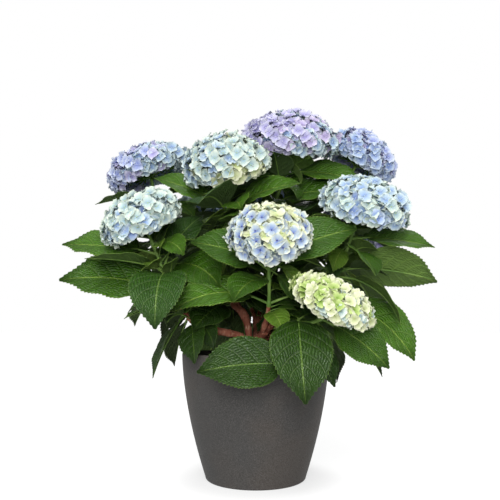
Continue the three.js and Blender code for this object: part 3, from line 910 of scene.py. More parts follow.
def bark_finish():
    finish, shader = new_finish("peeling red-brown bark", {"Specular IOR Level": 0.25})
    place = plant_place(finish)
    strips = place.stretched(1.0, 1.0, 0.22).cloud(330.0, 3.0)
    tones = place.cloud(60.0, 2.0)
    wood = tones.ramp(0.3, 0.7).blend(*map(colour, BARK_TONES["wood"]))
    peeled = strips.ramp(0.55, 0.75).blend(wood, colour(BARK_TONES["peeled"]))
    # Painted shade: the furrows, where the bump sinks between strips, take the darkest tone.
    shaded = (1 - strips).ramp(0.58, 0.75).blend(peeled, colour(BARK_TONES["shaded"]))
    wire_up(shader, shaded, 0.65 + strips * 0.25, strips, 0.0006)
    return finish


print("bark tones:", ", ".join(BARK_TONES))

# %% [markdown]
# The crown is the thick foot that all canes rise from. It sinks a little into the compost and each cane sinks
# a little into it, because real wood has no gap there. The top rings of every tube grow smaller, which rounds
# the end off without any extra shape.

# %% Crown and canes
CROWN_GRID = {"rings": 22, "sides": 60}
CANE_GRID = {"rings": 56, "sides": 22}
SUNK = {"crown": 2.5, "cane": 3}  # how deep each one's foot sits in what carries it, in mm


def add_crown(wood):
    share = np.linspace(0, 1, CROWN_GRID["rings"])
    line = CROWN_FOOT + share[:, None] * (CROWN_TOP - CROWN_FOOT)
    line = line - UP * SUNK["crown"] * (1 - share[:, None])
    radii = mixed(CROWN["top"], CROWN["foot"], (1 - share) ** 2)
    radii[-3:] *= [0.97, 0.88, 0.6]
    sides = CROWN_GRID["sides"]
    add_tube(wood, line, radii, sides, bark_relief(share * CROWN["height"], sides, 3))


def add_cane(wood, route, seed):
    share = np.linspace(0, 1, CANE_GRID["rings"])
    line = route.point(share)
    line[0] -= UP * SUNK["cane"]
    radii = mixed(CANE["foot"], CANE["tip"], share)
    radii[-2:] *= [0.96, 0.7]
    sides = CANE_GRID["sides"]
    add_tube(wood, line, radii, sides, bark_relief(share * route.length, sides, seed))


def make_wood():
    wood = Batch()
    add_crown(wood)
    for number, route in enumerate(CANES.values()):
        add_cane(wood, route, number + 20)
    nodes = ["woody_crown"] + ["cane_" + name for name in CANES]
    wood.piece("bark_of_crown_and_canes", bark_finish(), "bark", nodes)


make_wood()

# %% [markdown]
# ## Where the leaves stand
# By the rule, a leaf stands on the outer side of its stem a little lower than on the inner side, as real
# leaves do that seek the light. A leaf's place is a handful of numbers: where its stalk starts, which way
# stalk and blade head and lift, how much the blade droops, how long it is, and where its face turns to. A
# hand-placed empty for each leaf would say the same, but could not be checked against the rule.

# %% Places by the rule
def pair_levels(name):
    """How far below the stem's tip each pair of leaves stands."""
    span = STEMS[name].length - PAIRS["first"] - PAIRS["least"]
    gaps = min(int(span / PAIRS["spacing"] + 0.5), len(PAIRS["sizes"]) - 1)
    return [PAIRS["first"] + span * k / gaps for k in range(gaps + 1)]


def leaf_place(name, pair, twin):
    """Where a leaf would stand by the rule, with what it has of its own."""
    shoot = SHOOTS[name]
    index = SHOOT_NAMES.index(name)
    own = OWN_LEAVES.get(f"{name} {pair}{'ab'[twin]}", {})
    route = STEMS[name]
    down = own.get("down", pair_levels(name)[pair])
    root = route.point(route.share_at(route.length - down))
    random = [chance(index, pair, twin, key) - 0.5 for key in range(3)]
    heading = shoot["first_pair"] + 90 * pair + 180 * twin + 20 * random[0]
    outward = np.degrees(np.arctan2(root[1], root[0]))
    outness = np.cos(np.radians(heading - outward))
    place = {
        "root": root,
        "heading": heading,
        "lift": PAIRS["lifts"][pair] - 10 * outness + 12 * random[1],
        "droop": 50 + 20 * random[2],
        "length": LEAF["length"] * PAIRS["sizes"][pair] * mixed(0.85, 1.05, (outness + 1) / 2),
        "face_to": outward,
        "facing": mixed(0.2, 0.9, min(pair / 3, 1)),
    } | own
    stalk = {
        "stalk_heading": place["heading"],
        "stalk_lift": place["lift"] + 8,
        "stalk": LEAF["stalk"] * place["length"],
    }
    return stalk | place


def nudged(wish, turn, lift, share):
    moved = {
        "heading": wish["heading"] + turn,
        "stalk_heading": wish["stalk_heading"] + turn,
        "lift": wish["lift"] + lift,
        "stalk_lift": wish["stalk_lift"] + lift,
        "length": wish["length"] * share,
    }
    return wish | moved


first = leaf_place("front", 0, 0)
print("the front shoot's first leaf is", first["length"], "mm long and lifts by", first["lift"], "degrees")

# %% [markdown]
# A blade bends evenly from its base to its tip, so its midrib is part of a circle, and its outline is widest
# at two fifths of its length. From any share of the length the next functions give the point on the midrib,
# the way along it, the way across the blade and the way out of its face. Everything that is built on a leaf
# later, from teeth to stalks, uses these four.

# %% Run of a blade
def midrib(place, share):
    """Points of a leaf's midrib and the way it runs, for shares from 0 at its base to 1 at its tip."""
    share = np.asarray(share, float)
    base = place["root"] + direction(place["stalk_heading"], place["stalk_lift"]) * place["stalk"]
    start = np.radians(place["lift"])
    bend = np.radians(place["droop"])
    now = start - bend * share
    out = (np.sin(start) - np.sin(now)) * place["length"] / bend
    rise = (np.cos(now) - np.cos(start)) * place["length"] / bend
    flat = direction(place["heading"], 0)
    points = base + out[..., None] * flat + rise[..., None] * UP
    along = np.cos(now)[..., None] * flat + np.sin(now)[..., None] * UP
    return points, along


def blade_half_width(share):
    """Half the width over the length: round at the base, widest at two fifths, drawn out to the tip."""
    peak = 0.4**0.6 * 0.6**0.9
    return LEAF["half_width"] * np.power(share, 0.6) * np.power(1 - share, 0.9) / peak


def blade_frame(place, share):
    """Points of the midrib, with the ways along it, across the blade and out of its face."""
    points, along = midrib(place, share)
    face = UP + direction(place["face_to"], 0) * place["facing"]
    side = unit(np.cross(along, face))
    return points, along, side, np.cross(side, along)


print("the first leaf is", round(2 * float(blade_half_width(0.4)) * first["length"]), "mm wide")

# %% [markdown]
# A leaf that met a neighbour was moved when the solids were made: it tried a few places in turn and took the
# first that was free, or was left out. Doing that search again would need the same solid geometry. The
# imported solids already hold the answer, so each place is simply held against them: the one whose midrib and
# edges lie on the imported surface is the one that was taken.

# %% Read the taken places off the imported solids
TOUCHING = 0.2  # a spot this near to a surface lies on it, in mm


def surface_of(node):
    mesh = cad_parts[node].data
    corners = [v.co / MILLIMETRE for v in mesh.vertices]
    return BVHTree.FromPolygons(corners, [p.vertices for p in mesh.polygons])


def lies_on(surface, place):
    """True if the solid leaf at this place is part of the surface."""
    share = np.array([0.58, 0.82])
    points, along, side, normal = blade_frame(place, share)
    half = (blade_half_width(share) * place["length"])[:, None]
    spots = [points + normal * LEAF["solid_thickness"] / 2]
    spots += [points + side * half * way + normal * half * LEAF["fold"] for way in (-1, 1)]
    return all(surface.find_nearest(Vector(spot))[3] < TOUCHING for spot in np.concatenate(spots))


def find_leaves():
    found = []
    for name in SHOOT_NAMES:
        surface = surface_of("foliage_" + name)
        for pair in range(len(pair_levels(name))):
            for twin in (0, 1):
                tried = [nudged(leaf_place(name, pair, twin), *nudge) for nudge in NUDGES]
                taken = [place for place in tried if lies_on(surface, place)]
                if taken:
                    found.append(taken[0] | {"shoot": name, "pair": pair, "twin": twin})
    return found


LEAVES = find_leaves()
print("leaves found on the packed solids:", len(LEAVES))

# %% [markdown]
# ## Leaves
# A hydrangea leaf is broad, pointed and finely toothed. Its side veins curve forward to the edge and are
# sunk, and the blade swells between them like a quilt. A flat card with a picture of a leaf would be
# cheaper, but it shows no thickness and no swelling. Each leaf here is a thin closed shell on a grid: rows
# run along it and end in turn at the tip of a tooth and in the notch behind it, and columns run across it.

# %% Grid of a blade
SIDE_VEINS = 7
FINE = {"teeth": 23, "columns": 15}  # for the leaves that show
COARSE = {"teeth": 11, "columns": 9}  # for the smaller ones inside the bush
BLADE_THICKNESS = 0.45


def vein_phase(share, out):
    """Rises by 1 from one side vein to the next. Veins leave the midrib forwards and curve to the tip.
    out is 0 on the midrib and 1 at the edge. It works on numbers and on wires."""
    return (share - 0.21 * out - 0.09 * out * out) * SIDE_VEINS


def tooth_reach(rows):
    """What each row adds to the blade's half width, as a share of its length. Teeth shrink to both ends."""
    tip = np.where(np.arange(rows) % 2, 0.009, -0.004)
    share = np.linspace(0, 1, rows)
    return tip * ramp(0.02, 0.2, share) * (1 - ramp(0.8, 0.98, share))


def blade_surface(place, seed, grid):
    """Rows and columns of points on the upper face of a leaf, the way out of the face at each, and their
    shares along and across the blade."""
    rows = 2 * grid["teeth"] + 3
    share = np.linspace(0, 1, rows)
    across = np.sin(np.linspace(-np.pi / 2, np.pi / 2, grid["columns"]))
    length = place["length"]
    points, along, side, normal = blade_frame(place, share)
    half = blade_half_width(np.clip(share, 0.004, 0.995)) * (1 - 0.3 * ramp(0.7, 0.97, share))
    half = np.maximum(half, 0.002)[:, None]
    s, t = np.meshgrid(share, across, indexing="ij")
    out = np.abs(t)
    edge = ramp(0.8, 1.0, out)
    wide = half + tooth_reach(rows)[:, None] * edge
    forward = edge * 0.35 / grid["teeth"] * (np.arange(rows) % 2)[:, None]
    fold = LEAF["fold"] * (np.sqrt(out**2 + 0.012) - 0.11) * half
    quilt = 1 - np.abs(np.cos(np.pi * vein_phase(s, out))) ** 3
    quilt *= ramp(0.03, 0.3, out) * (1 - 0.55 * ramp(0.75, 1, out))
    quilt *= ramp(0.02, 0.15, s) * (1 - ramp(0.8, 1, s))
    arch = 0.05 * np.sin(np.pi * np.minimum(out, 1)) * half
    waves = between(2.2, 3.4, seed, 1) * s + chance(seed, 3) + 0.3 * np.sign(t)
    calm_tip = 1 - 0.7 * ramp(0.75, 1.0, s)
    wave = between(0.006, 0.016, seed, 2) * np.sin(2 * np.pi * waves) * out**3 * calm_tip
    height = fold + arch + 0.013 * quilt + wave
    sideways = t * wide + between(-0.05, 0.05, seed, 4) * s**2
    grown = points[:, None] + side[:, None] * (sideways * length)[..., None]
    grown += normal[:, None] * (height * length)[..., None] + along[:, None] * (forward * length)[..., None]
    out_of_face = unit(np.cross(np.gradient(grown, axis=0), np.gradient(grown, axis=1)))
    if (out_of_face * normal[:, None]).sum() < 0:
        out_of_face = -out_of_face
    return grown, out_of_face, s, t


def leaf_shell(place, seed, grid=FINE):
    """Points, faces and map places of a closed leaf: the map's left half is its upper face, the right half
    its lower one."""
    upper, out_of_face, s, t = blade_surface(place, seed, grid)
    rows, columns = s.shape
    size = rows * columns
    lower = upper - out_of_face * BLADE_THICKNESS
    points = np.concatenate([upper.reshape(-1, 3), lower.reshape(-1, 3)])
    top = grid_faces(rows, columns)
    left = np.arange(rows - 1) * columns
    rims = [np.stack([a, a + columns, a + columns + size, a + size], -1) for a in (left, left + columns - 1)]
    rims[1] = rims[1][:, ::-1]
    faces = np.concatenate([top, top[:, ::-1] + size, *rims])
    flat = np.stack([0.25 + 0.23 * t, 0.01 + 0.98 * s], -1).reshape(-1, 2)
    both = np.concatenate([flat, flat + [0.5, 0]])
    shells = 2 * len(top)
    places = np.concatenate([both[faces[:shells]], flat[faces[shells:] % size]])
    return points, faces, places


print("triangles in a leaf:", 2 * len(leaf_shell(LEAVES[0], 1)[1]))

# %% [markdown]
# The surface of a leaf is drawn on its flat map: across from the left edge to the right, and up from the
# stalk to the tip. The left half of the map is the upper face and the right half is the paler underside. The
# same sums that shaped the quilt put the light lines in its valleys, so the two always agree. They also paint
# the cushions between the veins lighter and the blade beside the veins darker, as painted light and shade on
# the quilt, and a light edge round the upper face as a painted rim light. Green differs from leaf to leaf on
# a real shoot, deep on old leaves and yellow on young ones, so there are several mixes.

# %% Finish of the leaves
LEAF_MIXES = {
    # name: upper face, its lighter patches and painted light on the cushions, veins and painted rim light,
    # underside
    "deep": ("1b330a", "2f4f0f", "668337", "425828"),
    "mid": ("294a0a", "426c14", "7f9c40", "4f6c2c"),
    "cool": ("22400f", "365a1a", "708c45", "4b6432"),
    "fresh": ("35590f", "52801d", "92b04a", "5f7d34"),
    "bright": ("5c8522", "749a31", "acc65f", "7c9c40"),
}


def leaf_finish(name, upper, patches, veins, underside):
    finish, shader = new_finish("leaf green, " + name, {"Specular IOR Level": 0.4})
    place = map_place(finish)
    u, share = place.part(0), place.part(1)
    is_under = u.above(0.5)
    out = abs((u - 0.25 - is_under * 0.5) / 0.23)
    phase = vein_phase(share, out)
    from_vein = abs(phase.fraction() - 0.5)
    side_vein = from_vein.ramp(0.47, 0.495)
    rib = (out * (1.25 - share)).ramp(0.03, 0.01)
    # Small veins run from side vein to side vein like rungs. The blade swells in cushions between them.
    wander = place.cloud(14.0, 2.0)
    steps = out * 11.0 + phase * 0.7 + wander * 1.6 + (phase - phase.fraction()) * 0.37
    from_rung = abs(steps.fraction() - 0.5)
    net = place.place(phase * 2.6, out * 11.0).cells(1.5)
    cushion = from_vein.ramp(0.5, 0.3) * from_rung.ramp(0.5, 0.2)
    lines = (side_vein * 0.55 + rib + from_rung.ramp(0.44, 0.5) * 0.12).smallest(1.0)
    mottle = place.cloud(7.0, 3.0)
    # Random mottle, plus painted light and shade: the middle of each cushion takes the lighter green, and the
    # blade beside the veins stays darker.
    blade = (mottle.ramp(0.3, 0.7) * 0.4 + cushion * 0.6).blend(colour(upper), colour(patches))
    veined = (lines * 0.75).blend(blade, colour(veins))
    # Painted rim light: the edge of the upper face is painted halfway to the vein colour.
    upper_with_painted_rim_light = (out.ramp(0.95, 1.0) * 0.5).blend(veined, colour(veins))
    lower = (lines * 0.6).blend(colour(underside), colour(veins))
    relief = (1 - is_under * 2) * (cushion * 0.75 + net.ramp(0.0, 0.3) * 0.25)
    shine = 0.46 - cushion * 0.14 + is_under * 0.3 + mottle * 0.08
    wire_up(shader, is_under.blend(upper_with_painted_rim_light, lower), shine, relief, 0.0016)
    return finish


LEAF_GREENS = {name: leaf_finish(name, *tones) for name, tones in LEAF_MIXES.items()}
print("leaf greens:", ", ".join(LEAF_GREENS))

# %% [markdown]
# The solids have one leaf for each that shows. A real bush is closed behind those by smaller leaves on side
# shoots, so more are wished for here, in a spiral down each stem. A few have places of their own, where the
# spiral would leave a hole to look through. A single dark shape inside the bush would close it too, but it
# would look like one from every other side.

# %% Wishes for inner leaves
INNER = {"first": 10, "spacing": 6, "spiral": 137.5, "shortest": 46, "longest": 88}
# What an inner leaf tries in turn: see NUDGES. These turn further, as an inner leaf may head anywhere.
INNER_NUDGES = (
    (0, 0, 1),
    (35, -10, 0.9),
    (-35, 8, 0.9),
    (70, -20, 0.8),
    (-70, 0, 0.8),
    (0, -30, 0.7),
    (0, 35, 0.6),
    (110, -10, 0.7),
    (-110, 10, 0.7),
    (160, 25, 0.6),
    (20, 50, 0.55),
)
# Inner leaves at places of their own: shoot, distance below the stem's tip, heading, lift, length.
OWN_INNER = [
    ("left", 138, 222, -40, 78),
    ("left", 120, 250, -30, 70),
    ("centre", 50, 40, -4, 66),
    ("centre", 62, 300, 10, 60),
    ("top", 20, 300, 20, 66),
    ("top", 44, 180, 0, 82),
    ("top", 44, 260, 40, 82),
    ("top", 30, 250, -10, 70),
    ("top", 34, 110, 0, 76),
    ("far_left", 260, 280, -40, 66),
]


def inner_wishes(name):
    """The places of a shoot's inner leaves: first its own ones, then a spiral down its stem."""
    wishes = [wish[1:] for wish in OWN_INNER if wish[0] == name]
    index = SHOOT_NAMES.index(name)
    for k in range(int((STEMS[name].length - INNER["first"]) / INNER["spacing"])):
        down = INNER["first"] + INNER["spacing"] * k
        heading = SHOOTS[name]["first_pair"] + 45 + INNER["spiral"] * k
        lift = between(-25, 30, index, k, 51)
        wishes.append((down, heading, lift, between(INNER["shortest"], INNER["longest"], index, k, 52)))
    return wishes


def inner_leaf(name, down, heading, lift, length):
    """The place of an inner leaf, in the same words as the place of a leaf by the rule."""
    route = STEMS[name]
    root = route.point(route.share_at(route.length - down))
    seed = SHOOT_NAMES.index(name) * 1000 + round(down)
    return {
        "root": root,
        "heading": heading,
        "stalk_heading": heading,
        "lift": lift,
        "stalk_lift": lift + 8,
        "stalk": 0.3 * length,
        "length": length,
        "droop": between(30, 60, seed, 53),
        "face_to": np.degrees(np.arctan2(root[1], root[0])),
        "facing": between(0.3, 0.9, seed, 54),
        "shoot": name,
        "pair": min(down // PAIRS["spacing"], 5),
        "twin": 0,
    }


print("inner leaves wished for:", sum(len(inner_wishes(name)) for name in SHOOTS))

# %% [markdown]
# Each wish is first tried as a few large faces against every solid, which is quick and rules out most bad
# places. What passes is grown in full and tried against the grown leaves. It is kept only where it touches
# none of them, stays within its own mass of foliage, and does not hide the canes or the large front leaves.
# Overlapping leaves would hardly show in a bush, but they would be wrong in the mesh.

# %% Find room for inner leaves
# Where no inner leaf may stand, in mm: the gap above the rim in which the canes show, and all that lies
# before front.
KEPT_FREE = {"left": -50, "right": 18, "top": 265, "front": -112}


def rough_blade(place):
    """A leaf's outline as a strip of a few faces, for testing what it touches."""
    share = np.array([0.05, 0.3, 0.55, 0.8, 1.0])
    points, _, side, normal = blade_frame(place, share)
    half = (blade_half_width(share) * place["length"])[:, None]
    strip = [points + side * half * way + normal * half * abs(way) * LEAF["fold"] for way in (-1, 0, 1)]
    return np.stack(strip, 1).reshape(-1, 3), grid_faces(len(share), 3)


def hides_others(points):
    """True if any of a leaf's points is where no inner leaf may stand."""
    x, y, z = points.T
    in_gap = (x > KEPT_FREE["left"]) & (x < KEPT_FREE["right"]) & (y < 0) & (z < KEPT_FREE["top"])
    return bool((in_gap | (y < KEPT_FREE["front"])).any())


def tree_of(points, faces):
    return BVHTree.FromPolygons([Vector(p) for p in points], faces.tolist())


def grown_tree(place, seed, grid):
    points, faces, _ = leaf_shell(place, seed, grid)
    return tree_of(points, faces)


def find_inner_leaves():
    solids = [surface_of(node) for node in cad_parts]
    grown = [surface_of("flower_head_" + name) for name in SHOOTS]
    grown += [grown_tree(leaf, number, FINE) for number, leaf in enumerate(LEAVES)]
    found = []
    for name in SHOOTS:
        low, high = [np.array(corner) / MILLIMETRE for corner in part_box("foliage_" + name)]
        for wish in inner_wishes(name):
            for nudge in INNER_NUDGES:
                place = nudged(inner_leaf(name, *wish), *nudge)
                points, faces = rough_blade(place)
                if (points < low).any() or (points > high).any() or hides_others(points):
                    continue
                rough = tree_of(points, faces)
                if any(rough.overlap(other) for other in solids):
                    continue
                fine = grown_tree(place, len(LEAVES) + len(found), COARSE)
                if any(fine.overlap(other) for other in grown):
                    continue
                solids.append(rough)
                grown.append(fine)
                found.append(place)
                break
    return found


INNER_LEAVES = find_inner_leaves()
print("inner leaves with room to grow:", len(INNER_LEAVES))

# %% [markdown]
# The leaves are dealt out to the mixes of green: upper pairs tend to be fresher and lower ones deeper, with
# chance on top, and small leaves that face forwards are often bright young ones. All the leaves of a mix
# become one piece. One piece for each leaf would be slow to handle, and one for all leaves could have only
# one green.

# %% Deal out the leaves
# Leaves whose green is known, by shoot, pair and twin.
OWN_MIXES = {
    "low 0a": "deep",
    "low 1a": "deep",
    "low 0b": "mid",
    "right 3a": "fresh",
    "right 1a": "fresh",
}
YOUNG = 56  # a leaf shorter than this may be a bright young one, in mm


def mix_of(leaf, number):
    """Which green a leaf has."""
    own = OWN_MIXES.get(f"{leaf['shoot']} {leaf['pair']}{'ab'[leaf['twin']]}")
    if own and number < len(LEAVES):
        return own
    if leaf["length"] < YOUNG and (leaf["facing"] > 1 or chance(number, 12) < 0.3):
        return "bright"
    age = leaf["pair"] / 5 + between(-0.35, 0.35, number, 9)
    if age > 0.72:
        return "deep"
    if age > 0.3:
        return "mid" if chance(number, 10) < 0.6 else "cool"
    return "fresh" if chance(number, 11) < 0.62 else "mid"


leaf_batches = {name: Batch() for name in LEAF_MIXES}
for number, leaf in enumerate(LEAVES + INNER_LEAVES):
    grid = FINE if number < len(LEAVES) else COARSE
    leaf_batches[mix_of(leaf, number)].add(*leaf_shell(leaf, number, grid))
print("points in each mix:", {name: batch.count for name, batch in leaf_batches.items()})

# %% [markdown]
# ## Stems and leaf stalks
# The young shoots are green, with paler and deeper patches and a soft shine. One noise in the plant's own
# space is enough for that. Two colours with no pattern between them would make every stem look painted.

# %% Finish of the stems
STEM_TONES = ("5f8438", "86a651")


def stem_finish():
    finish, shader = new_finish("green young stem", {"Specular IOR Level": 0.35})
    place = plant_place(finish)
    patches = place.cloud(40.0, 2.0)
    green = patches.ramp(0.3, 0.7).blend(*map(colour, STEM_TONES))
    wire_up(shader, green, 0.5 + patches * 0.1)
    return finish


print("greens of the stems:", ", ".join(STEM_TONES))

# %% [markdown]
# Each leaf has a stout stalk that runs on under the blade as its midrib, so stalk and midrib are one tapering
# tube here. Where the stalk meets the blade its line is evened out twice, or it would show a kink. Two tubes,
# one for the stalk and one for the rib, would show a joint there.

# %% Stalks and midribs
STALK_RADII = (2.3, 1.7, 0.45)  # at the stem, where the blade starts, and at the blade's tip
STALK_RINGS = 6
RIB_END = 0.93  # the share of the blade at which its rib ends
RIB_DEPTH = 1.4  # how far under the blade's face the rib's middle lies at most


def leaf_stalk(batch, leaf):
    """The stalk of a leaf and the rib under its blade, as one tube."""
    is_large = leaf["length"] > INNER["longest"]
    share = np.linspace(0, RIB_END, 17 if is_large else 9)
    blade, _, _, normal = blade_frame(leaf, share)
    way = direction(leaf["stalk_heading"], leaf["stalk_lift"])
    stalk = leaf["root"] + np.linspace(0, leaf["stalk"], STALK_RINGS + 1)[:-1, None] * way
    stalk_radii = np.linspace(*STALK_RADII[:2], STALK_RINGS)
    radii = np.concatenate([stalk_radii, np.linspace(*STALK_RADII[1:], len(share))])
    radii = radii * min(1.0, 0.25 + 0.75 * leaf["length"] / LEAF["length"])
    depth = np.minimum(radii[STALK_RINGS:] * 0.9, RIB_DEPTH) * ramp(0, 0.12, share)
    line = np.concatenate([stalk, blade - normal * depth[:, None]])
    for _ in range(2):
        line[4:8] = (line[3:7] + line[4:8] * 2 + line[5:9]) / 4
    add_tube(batch, line, radii, 7 if is_large else 5)


print("radii of the longest stalks in mm:", STALK_RADII)

# %% [markdown]
# A young stem is round, with a swelling wherever a pair of leaves stands, and its lowest few centimetres have
# already turned woody. The woody foot is a piece of its own, a little thicker than the stem inside it, with
# the relief and the finish of the canes. One finish that changes from green to brown would need a pattern
# along each stem, and the solid relief would still be missing.

# %% Stems with their woody feet
WOODY_FOOT = 44  # how much of a stem has turned woody, in mm
BARK_LAYER = (1.3, 0.25)  # how much thicker that makes it at its foot and where the wood ends
SWELLING = {"height": 1.1, "width": 3.5}
STEM_GRID = {"rings": 70, "sides": 10, "woody_sides": 16}


def add_stem(name, stems, feet):
    route = STEMS[name]
    share = np.linspace(0, 1, STEM_GRID["rings"])
    distance = share * route.length
    radii = mixed(STEM["foot"], STEM["tip"], share)
    for down in pair_levels(name):
        from_pair = (route.length - down - distance) / SWELLING["width"]
        radii += SWELLING["height"] * np.exp(-(from_pair**2))
    radii[:2] *= [0.7, 0.95]
    line = route.point(route.share_at(distance))
    line[0] -= route.along(0) * SUNK["cane"]
    add_tube(stems, line, radii, STEM_GRID["sides"])
    foot = distance < WOODY_FOOT
    woody = radii[foot] + mixed(*BARK_LAYER, distance[foot] / WOODY_FOOT)
    sides = STEM_GRID["woody_sides"]
    relief = bark_relief(distance[foot], sides, STEM_GRID["rings"] + round(route.length))
    add_tube(feet, line[foot], woody, sides, relief)


def make_stems():
    stems = Batch()
    feet = Batch()
    for name in SHOOTS:
        add_stem(name, stems, feet)
    feet.piece("woody_feet_of_stems", bark_finish(), "bark")
    for leaf in LEAVES + INNER_LEAVES:
        leaf_stalk(stems, leaf)
    nodes = ["foliage_" + name for name in SHOOTS]
    stems.piece("stems_and_leaf_stalks", stem_finish(), "foliage", nodes)


make_stems()
for name, batch in leaf_batches.items():
    if batch.count:
        batch.piece("leaves_" + name, LEAF_GREENS[name], "foliage")

# %% [markdown]
# ## Flower heads
# A mophead is a dome of over a hundred small flowers. What look like petals are four broad sepals round a
# tiny bead. A textured ball would look right only from far away, so every flower is modelled: each sepal is
# a cupped sheet on a small grid, a little wavy and never quite like its neighbour.

# %% Shape of a sepal
OUTER_GRID = 5
INNER_GRID = 4  # for flowers in the shade of others


def sepal(grid, size, turn, level, seed):
    """One sepal as a grid of points round the flower's middle: x and y across the flower, z out of it."""
    a, b = np.meshgrid(np.linspace(0, 1, grid), np.linspace(-1, 1, grid), indexing="ij")
    width = 0.58 * np.sin(np.pi * (0.05 + 0.80 * a)) ** 0.7
    along = 0.03 + a * (1 - 0.2 * b * b * a * a) * (1 - 0.03 * np.cos(5 * b + 6 * chance(seed, 1)))
    along = along + 0.05 * (1 - abs(b)) ** 2 * a**3
    cup = between(0.08, 0.34, seed, 2)
    bowl = between(0.1, 0.5, seed, 3)
    ripple = 0.05 * np.sin(4.5 * b + 6.3 * chance(seed, 4)) * a * a
    z = cup * a * b * b + bowl * a * a - 0.18 * a**5 + ripple + level
    x, y = along, b * width
    heading = turn + between(-0.12, 0.12, seed, 5)
    flat = [x * np.cos(heading) - y * np.sin(heading), x * np.sin(heading) + y * np.cos(heading), z]
    return np.stack(flat, -1).reshape(-1, 3) * size


print("points in an outer sepal:", len(sepal(OUTER_GRID, 1, 0, 0, 1)))

# %% [markdown]
# On its flat map a sepal runs up from its foot to its rim. Deeper sepals have the map's left half and paler
# ones its right half, so that one finish can give neighbours two depths of the same dye, and the bead has a
# strip at the top. A second finish for the pale sepals would do the same with twice as many pieces.

# %% One small flower
BEAD = {"sides": 6, "size": 0.1, "rings": [(1.0, 0.0), (0.85, 0.75), (0.08, 1.15)]}
PALE_SEPALS = 0.45  # the share of the sepals that are pale


def sepal_map(grid, is_pale):
    """Faces of a sepal's grid and the map places of their corners."""
    a, b = np.meshgrid(np.linspace(0, 1, grid), np.linspace(-1, 1, grid), indexing="ij")
    flat = np.stack([0.25 + 0.23 * b + 0.5 * is_pale, 0.02 + 0.84 * a], -1).reshape(-1, 2)
    faces = grid_faces(grid, grid)
    return faces, flat[faces]


SEPAL_MAPS = {(grid, pale): sepal_map(grid, pale) for grid in (OUTER_GRID, INNER_GRID) for pale in (0, 1)}
BEAD_FACES = grid_faces(len(BEAD["rings"]), BEAD["sides"], wrapped=True)
BEAD_ANGLES = 2 * np.pi * np.arange(len(BEAD["rings"]) * BEAD["sides"]) / BEAD["sides"]
BEAD_MAP = np.stack([0.25 + 0.2 * np.cos(BEAD_ANGLES), 0.95 + 0.03 * np.sin(BEAD_ANGLES)], -1)


def bead(size):
    """The bead in the middle of a flower, as a low dome."""
    return turned(BEAD["rings"], BEAD["sides"]).reshape(-1, 3) * size


def add_flower(batch, at, out, size, turn, seed, grid):
    """Adds one small flower at a place, facing out. Opposite sepals lie a little above the other two."""
    side = unit(np.cross(out, direction(turn * 57, 0) + UP * 0.13))
    turned_to = np.stack([side, np.cross(out, side), out])
    for k in range(4):
        faces, places = SEPAL_MAPS[grid, int(chance(seed, k, 7) < PALE_SEPALS)]
        spread = size * between(0.84, 1.1, seed, k, 6)
        points = sepal(grid, spread, k * np.pi / 2, 0.035 * (-1) ** k, seed * 4 + k)
        batch.add(points @ turned_to + at, faces, places)
    if grid == OUTER_GRID:
        middle = at + out * size * 0.03
        batch.add(bead(size * BEAD["size"]) @ turned_to + middle, BEAD_FACES, BEAD_MAP[BEAD_FACES])


sample = Batch()
add_flower(sample, np.zeros(3), UP, 10, 0, 1, OUTER_GRID)
print("points in an outer flower:", sample.count)

# %% [markdown]
# Hydrangea flowers change colour as they age, and two neighbours are seldom the same. Each dye below is one
# such colour, from the sepal's foot to its rim, with its bead. Every flower takes one dye by the mix of its
# head. A colour picked at random for each flower would be simpler, but a real head keeps to a few.

# %% Dyes of the small flowers
DYES = {
    # name: slot, sepal's foot, sepal's middle, sepal's rim, bead
    "cream": ("petals_cream", "b6c386", "d6dcaf", "e8ead0", "c3cd86"),
    "cream_blue": ("petals_cream", "6a80be", "a8bacf", "dfe4d0", "4a4a90"),
    "lime": ("petals_cream", "80a242", "a6bd6b", "c8d793", "86a544"),
    "white_mint": ("petals_ice", "92b1c4", "bccfcb", "dce5d6", "b9cf9c"),
    "ice": ("petals_ice", "7a96cb", "a9c0d4", "d5e1dd", "c3d6d8"),
    "sky": ("petals_blue", "6c86c5", "9db2d8", "cbd8e2", "cbd8e2"),
    "periwinkle": ("petals_blue", "7c8ac8", "adb8dd", "d3dbe9", "c2c8e4"),
    "lavender": ("petals_lilac", "918ac4", "b8b5da", "d9d9e9", "d0cfe4"),
    "lilac_pink": ("petals_lilac", "a495c6", "c2b8dc", "dcd6e8", "dcd8e8"),
}
# The dyes of each head and their shares. A dye with a heading keeps to the side of the head that faces there.
HEAD_MIXES = {
    "front": {"cream_blue": (0.5, (262, -25)), "cream": (0.36, (60, 60)), "white_mint": (0.14, None)},
    "low": {"cream": (0.6, None), "lime": (0.26, (200, 60)), "white_mint": (0.14, (330, -20))},
    "left": {
        "white_mint": (0.6, None),
        "ice": (0.24, None),
        "sky": (0.1, (270, -60)),
        "periwinkle": (0.06, (270, -60)),
    },
    "right": {"ice": (0.4, None), "white_mint": (0.38, None), "sky": (0.22, (270, -60))},
    "centre": {"white_mint": (0.5, None), "ice": (0.27, (180, 20)), "cream": (0.23, (330, -40))},
    "top": {"lavender": (0.42, (200, 20)), "lilac_pink": (0.26, None), "ice": (0.32, (350, 0))},
    "far_right": {"periwinkle": (0.35, None), "sky": (0.42, None), "lavender": (0.23, None)},
    "far_left": {"periwinkle": (0.22, (190, 0)), "lavender": (0.2, None), "ice": (0.58, (340, 20))},
    "back_left": {"ice": (0.5, None), "white_mint": (0.3, None), "sky": (0.2, None)},
    "back": {"periwinkle": (0.4, None), "sky": (0.4, None), "ice": (0.2, None)},
    "back_right": {"lavender": (0.5, None), "lilac_pink": (0.25, None), "sky": (0.25, None)},
}
print("dyes:", ", ".join(DYES))
